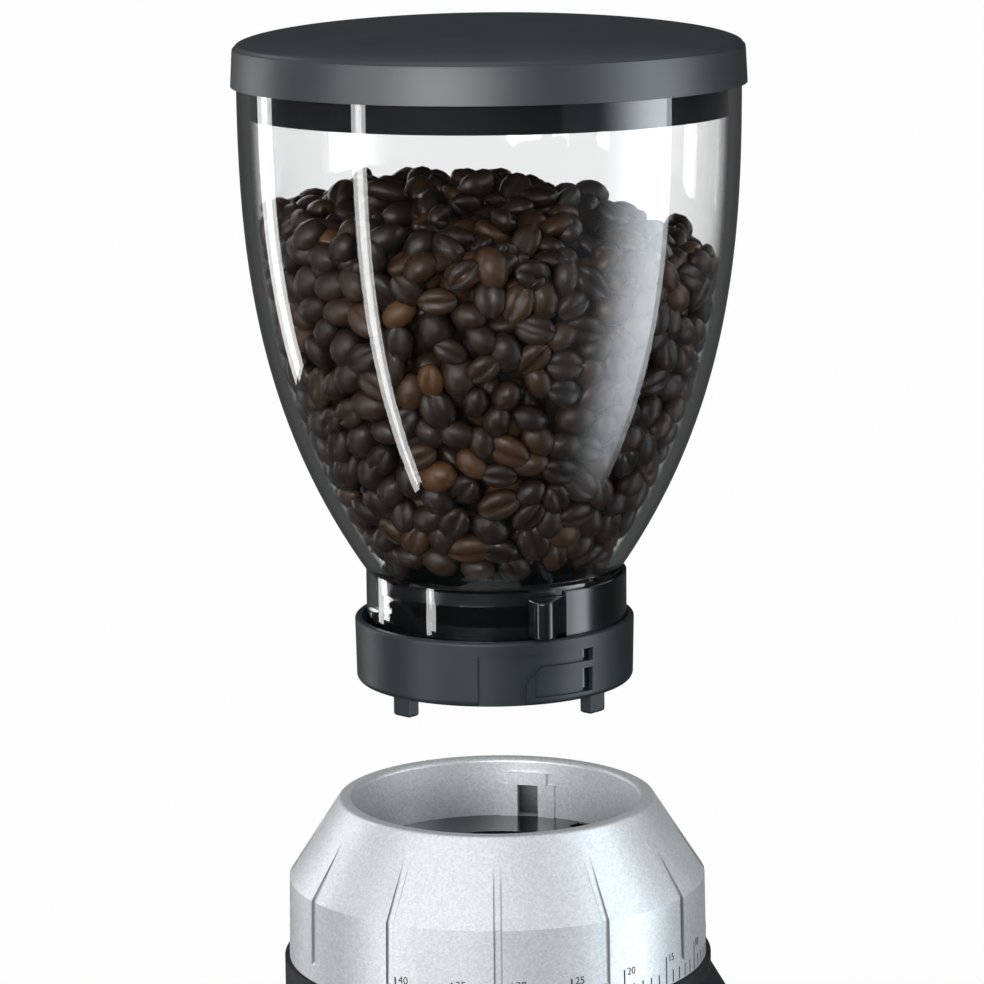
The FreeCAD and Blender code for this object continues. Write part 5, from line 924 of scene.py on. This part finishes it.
def fill_bowl():
    """Beans at the wall, two layers on top, a few loose ones, and a dark core."""
    draw = random.Random(HEAP_SEED)
    template = bean_mesh()
    outer = wall_beans(draw, inset=0.0, spacing=6.5 * MM, tries=30000, tilt=9)
    inner = wall_beans(draw, inset=5.2 * MM, spacing=6.9 * MM, tries=12000, tilt=22)
    crown = top_beans(draw, sink=2.5 * MM, spacing=6.4 * MM, tries=9000, tilt=34)
    under = top_beans(draw, sink=7.0 * MM, spacing=7.2 * MM, tries=4000, tilt=26)
    loose = top_beans(draw, sink=-1.2 * MM, spacing=15.0 * MM, tries=400, tilt=38)
    bean_piece("beans_at_wall", outer, template, draw)
    bean_piece("beans_inside", inner + crown + under + loose, template, draw)
    heap_core(inset=9.5 * MM, sink=11.0 * MM)
    bpy.data.meshes.remove(template)


# Dial marks on the collar

def band_radius(height):
    """Radius of the collar's band at a height above its foot."""
    return COLLAR_HIGH.x - AXIS_X - BAND_DRAFT * height


def dial_bearing(value):
    return DIAL_START + (DIAL_COUNT - value) * DIAL_STEP


def dial_ticks():
    """Short and long printed lines on the band."""
    ticks = bmesh.new()
    home = Matrix.Translation((AXIS_X, AXIS_Y, 0))
    lean = Matrix.Rotation(-math.atan(BAND_DRAFT), 4, "Y")
    for value in range(DIAL_COUNT + 1):
        length = DIAL_SHORT if value % DIAL_LONG_EVERY else DIAL_LONG
        middle = DIAL_FOOT + length / 2
        size = Matrix.Diagonal((2 * DIAL_INK, DIAL_LINE, length, 1.0))
        out = Matrix.Translation((band_radius(middle), 0, COLLAR_LOW.z + middle))
        turn = Matrix.Rotation(math.radians(dial_bearing(value)), 4, "Z")
        bmesh.ops.create_cube(ticks, size=1.0, matrix=home @ turn @ out @ lean @ size)
    new_piece("dial_ticks", ticks, DIAL_INK_FINISH, "collar")


def number_shape(text):
    """Plain figures as a thin solid, flat on X and Y."""
    curve = bpy.data.curves.new("figure", "FONT")
    curve.body = text
    curve.size = NUMBER_HEIGHT / FIGURE_SHARE
    curve.extrude = DIAL_INK
    holder = bpy.data.objects.new("figure", curve)
    mesh = bpy.data.meshes.new_from_object(holder)
    shape = bmesh.new()
    shape.from_mesh(mesh)
    bpy.data.objects.remove(holder)
    bpy.data.meshes.remove(mesh)
    bpy.data.curves.remove(curve)
    return shape


def dial_numbers():
    """Figures beside the long ticks, bent round the band."""
    numbers = bmesh.new()
    for value in range(DIAL_LONG_EVERY, DIAL_COUNT + 1, DIAL_LONG_EVERY):
        figure = number_shape(str(value))
        for vert in figure.verts:
            height = DIAL_FOOT + DIAL_LONG + NUMBER_RISE - NUMBER_HEIGHT + vert.co.y
            radius = band_radius(height) + vert.co.z
            turn = math.degrees((NUMBER_OFFSET + vert.co.x) / radius)
            vert.co = around(radius, dial_bearing(value) + turn, COLLAR_LOW.z + height)
        flat = bpy.data.meshes.new("figure")
        figure.to_mesh(flat)
        figure.free()
        numbers.from_mesh(flat)
        bpy.data.meshes.remove(flat)
    new_piece("dial_numbers", numbers, DIAL_INK_FINISH, "collar")


# Camera

def picture_camera():
    data = bpy.data.cameras.new("picture_camera")
    data.sensor_width = SENSOR_WIDTH
    data.lens = SENSOR_WIDTH * FOCAL_PIXELS / PICTURE_SIDE
    data.clip_end = CLIP_END
    camera = bpy.data.objects.new("picture_camera", data)
    camera.location = around(CAMERA_DISTANCE, CAMERA_BEARING, CAMERA_HEIGHT)
    aside = math.atan((AXIS_PIXEL - PICTURE_SIDE / 2) / FOCAL_PIXELS)
    heading = math.radians(CAMERA_BEARING + 90) + aside
    upright = Matrix.Rotation(heading, 3, "Z") @ Matrix.Rotation(math.radians(90 - CAMERA_PITCH), 3, "X")
    rolled = upright @ Matrix.Rotation(math.radians(CAMERA_ROLL), 3, "Z")
    camera.rotation_euler = rolled.to_euler()
    SCENE.collection.objects.link(camera)
    SCENE.camera = camera


# Lamps, placed by their bearing from the camera

def soft_lamp(name, bearing, distance, height, width, tall, watts, aim_height, tint=WHITE):
    """A panel lamp that faces a point on the burr axis."""
    data = bpy.data.lights.new(name, "AREA")
    data.shape = "RECTANGLE"
    data.size = width
    data.size_y = tall
    data.energy = watts
    data.color = tint
    lamp = bpy.data.objects.new(name, data)
    lamp.location = around(distance, CAMERA_BEARING + bearing, height)
    towards = around(0.0, 0.0, aim_height) - lamp.location
    lamp.rotation_euler = towards.to_track_quat("-Z", "Y").to_euler()
    lamp.visible_camera = False
    SCENE.collection.objects.link(lamp)
    return lamp


def fade_across(lamp, dim, bright):
    """Makes a panel dim at its left edge, bright towards its right, and soft at its foot."""
    lamp.data.use_nodes = True
    tree = lamp.data.node_tree
    place = tree.nodes.new("ShaderNodeNewGeometry").outputs["Parametric"]
    place_x, place_y, _place_z = split_axes(tree, place)
    across = mapped(tree, place_x, low=0.3, high=0.85, at_low=dim, at_high=bright)
    rise = mapped(tree, place_y, low=0.0, high=0.55, at_low=0.0, at_high=1.0)
    level = math_node(tree, "MULTIPLY", across, rise)
    tree.links.new(level, tree.nodes["Emission"].inputs["Strength"])


def reflected_lamps():
    """Strips and a panel that show in gloss and glass and add no light of their own."""
    left = soft_lamp("left_strip", bearing=-60.0, distance=1.1, height=0.1,
                     width=0.1, tall=2.2, watts=7.0, aim_height=0.1)
    back_left = soft_lamp("back_left_strip", bearing=-122.0, distance=1.2, height=0.54,
                          width=0.2, tall=1.32, watts=4.4, aim_height=0.54)
    right = soft_lamp("right_panel", bearing=60.0, distance=1.1, height=0.0,
                      width=1.16, tall=2.2, watts=20.0, aim_height=0.0, tint=COOL_WHITE)
    fade_across(right, dim=0.06, bright=2.6)
    for lamp in (left, back_left, right):
        lamp.visible_diffuse = False


def lighting_lamps():
    """Panels that light the object, from the front, from above and from behind."""
    soft_lamp("front_panel", bearing=-20.0, distance=1.5, height=0.54,
              width=1.1, tall=0.46, watts=19.0, aim_height=0.4)
    soft_lamp("top_panel", bearing=-20.0, distance=0.7, height=1.5,
              width=1.0, tall=1.0, watts=3.0, aim_height=0.2)
    for name, bearing in (("back_left_panel", -150.0), ("back_right_panel", 120.0)):
        back = soft_lamp(name, bearing, distance=1.7, height=0.9,
                         width=1.2, tall=0.8, watts=9.0, aim_height=0.25)
        back.visible_glossy = False


# Background and floor

def room_level(tree, side_x, side_y, up):
    """Brightness of the room by direction: a pale floor, brightest at the back, and a soft ceiling."""
    angle = math.radians(CAMERA_BEARING + 180)
    along_x = math_node(tree, "MULTIPLY", side_x, math.cos(angle))
    behind = math_node(tree, "MULTIPLY_ADD", side_y, math.sin(angle), along_x)
    floor_bright = mapped(tree, behind, low=0.25, high=0.95, at_low=0.01, at_high=0.08)
    horizon = mapped(tree, behind, low=-0.6, high=0.3, at_low=-0.24, at_high=-0.1)
    floor_end = math_node(tree, "ADD", horizon, 0.1)
    under = mapped(tree, up, low=horizon, high=floor_end, at_low=1.0, at_high=0.0)
    over = mapped(tree, up, low=0.4, high=0.8, at_low=0.02, at_high=0.3)
    return blend(tree, under, over, floor_bright)


def studio_world():
    """White behind the object, a dim room for reflections, and soft fill, fuller from above."""
    world = bpy.data.worlds.new("studio")
    world.use_nodes = True
    SCENE.world = world
    tree = world.node_tree
    direction = tree.nodes.new("ShaderNodeTexCoord").outputs["Generated"]
    side_x, side_y, up = split_axes(tree, direction)
    room = room_level(tree, side_x, side_y, up)
    fill = mapped(tree, up, low=-0.35, high=0.25, at_low=0.06, at_high=0.5)
    path = tree.nodes.new("ShaderNodeLightPath")
    bounced = math_node(tree, "ADD", path.outputs["Glossy Depth"], path.outputs["Diffuse Depth"])
    direct = math_node(tree, "LESS_THAN", bounced, NO_BOUNCE)
    through = math_node(tree, "MULTIPLY", path.outputs["Is Transmission Ray"], direct)
    seen = math_node(tree, "MAXIMUM", path.outputs["Is Camera Ray"], through)
    mirrored = math_node(tree, "MINIMUM", path.outputs["Glossy Depth"], 1.0)
    unseen = blend(tree, mirrored, fill, room)
    level = blend(tree, seen, unseen, BACKGROUND_LEVEL)
    background = tree.nodes["Background"]
    background.inputs["Color"].default_value = (*WHITE, 1.0)
    tree.links.new(level, background.inputs["Strength"])


def floor_finish():
    """Pale floor, clear away from the object, and clear to rays that light or mirror it."""
    material, tree, shader = finish("pale_floor")
    shader.inputs["Base Color"].default_value = srgb(236, 237, 237)
    shader.inputs["Roughness"].default_value = FLOOR_DULL
    away = tree.nodes.new("ShaderNodeVectorMath")
    away.operation = "LENGTH"
    tree.links.new(object_place(tree), away.inputs[0])
    faded = mapped(tree, away.outputs["Value"], FLOOR_FULL, FLOOR_GONE, 0.0, 1.0)
    path = tree.nodes.new("ShaderNodeLightPath")
    bounced = math_node(tree, "ADD", path.outputs["Is Diffuse Ray"], path.outputs["Glossy Depth"])
    hidden = math_node(tree, "MINIMUM", bounced, 1.0)
    unseen = math_node(tree, "MAXIMUM", faded, hidden)
    clear = tree.nodes.new("ShaderNodeBsdfTransparent")
    show_either(tree, unseen, shader, clear)
    return material


def pale_floor():
    """A round floor that keeps the object's shadow and fades into the white background."""
    disc = bmesh.new()
    bmesh.ops.create_circle(disc, cap_ends=True, segments=FLOOR_SIDES, radius=FLOOR_RADIUS)
    floor = placed_mesh("floor", disc, floor_finish())
    floor.visible_glossy = False


dress_solids()
clear_bowl()
domed_lid()
fill_bowl()
dial_ticks()
dial_numbers()
picture_camera()
reflected_lamps()
lighting_lamps()
studio_world()
pale_floor()
SCENE.view_settings.view_transform = "Standard"
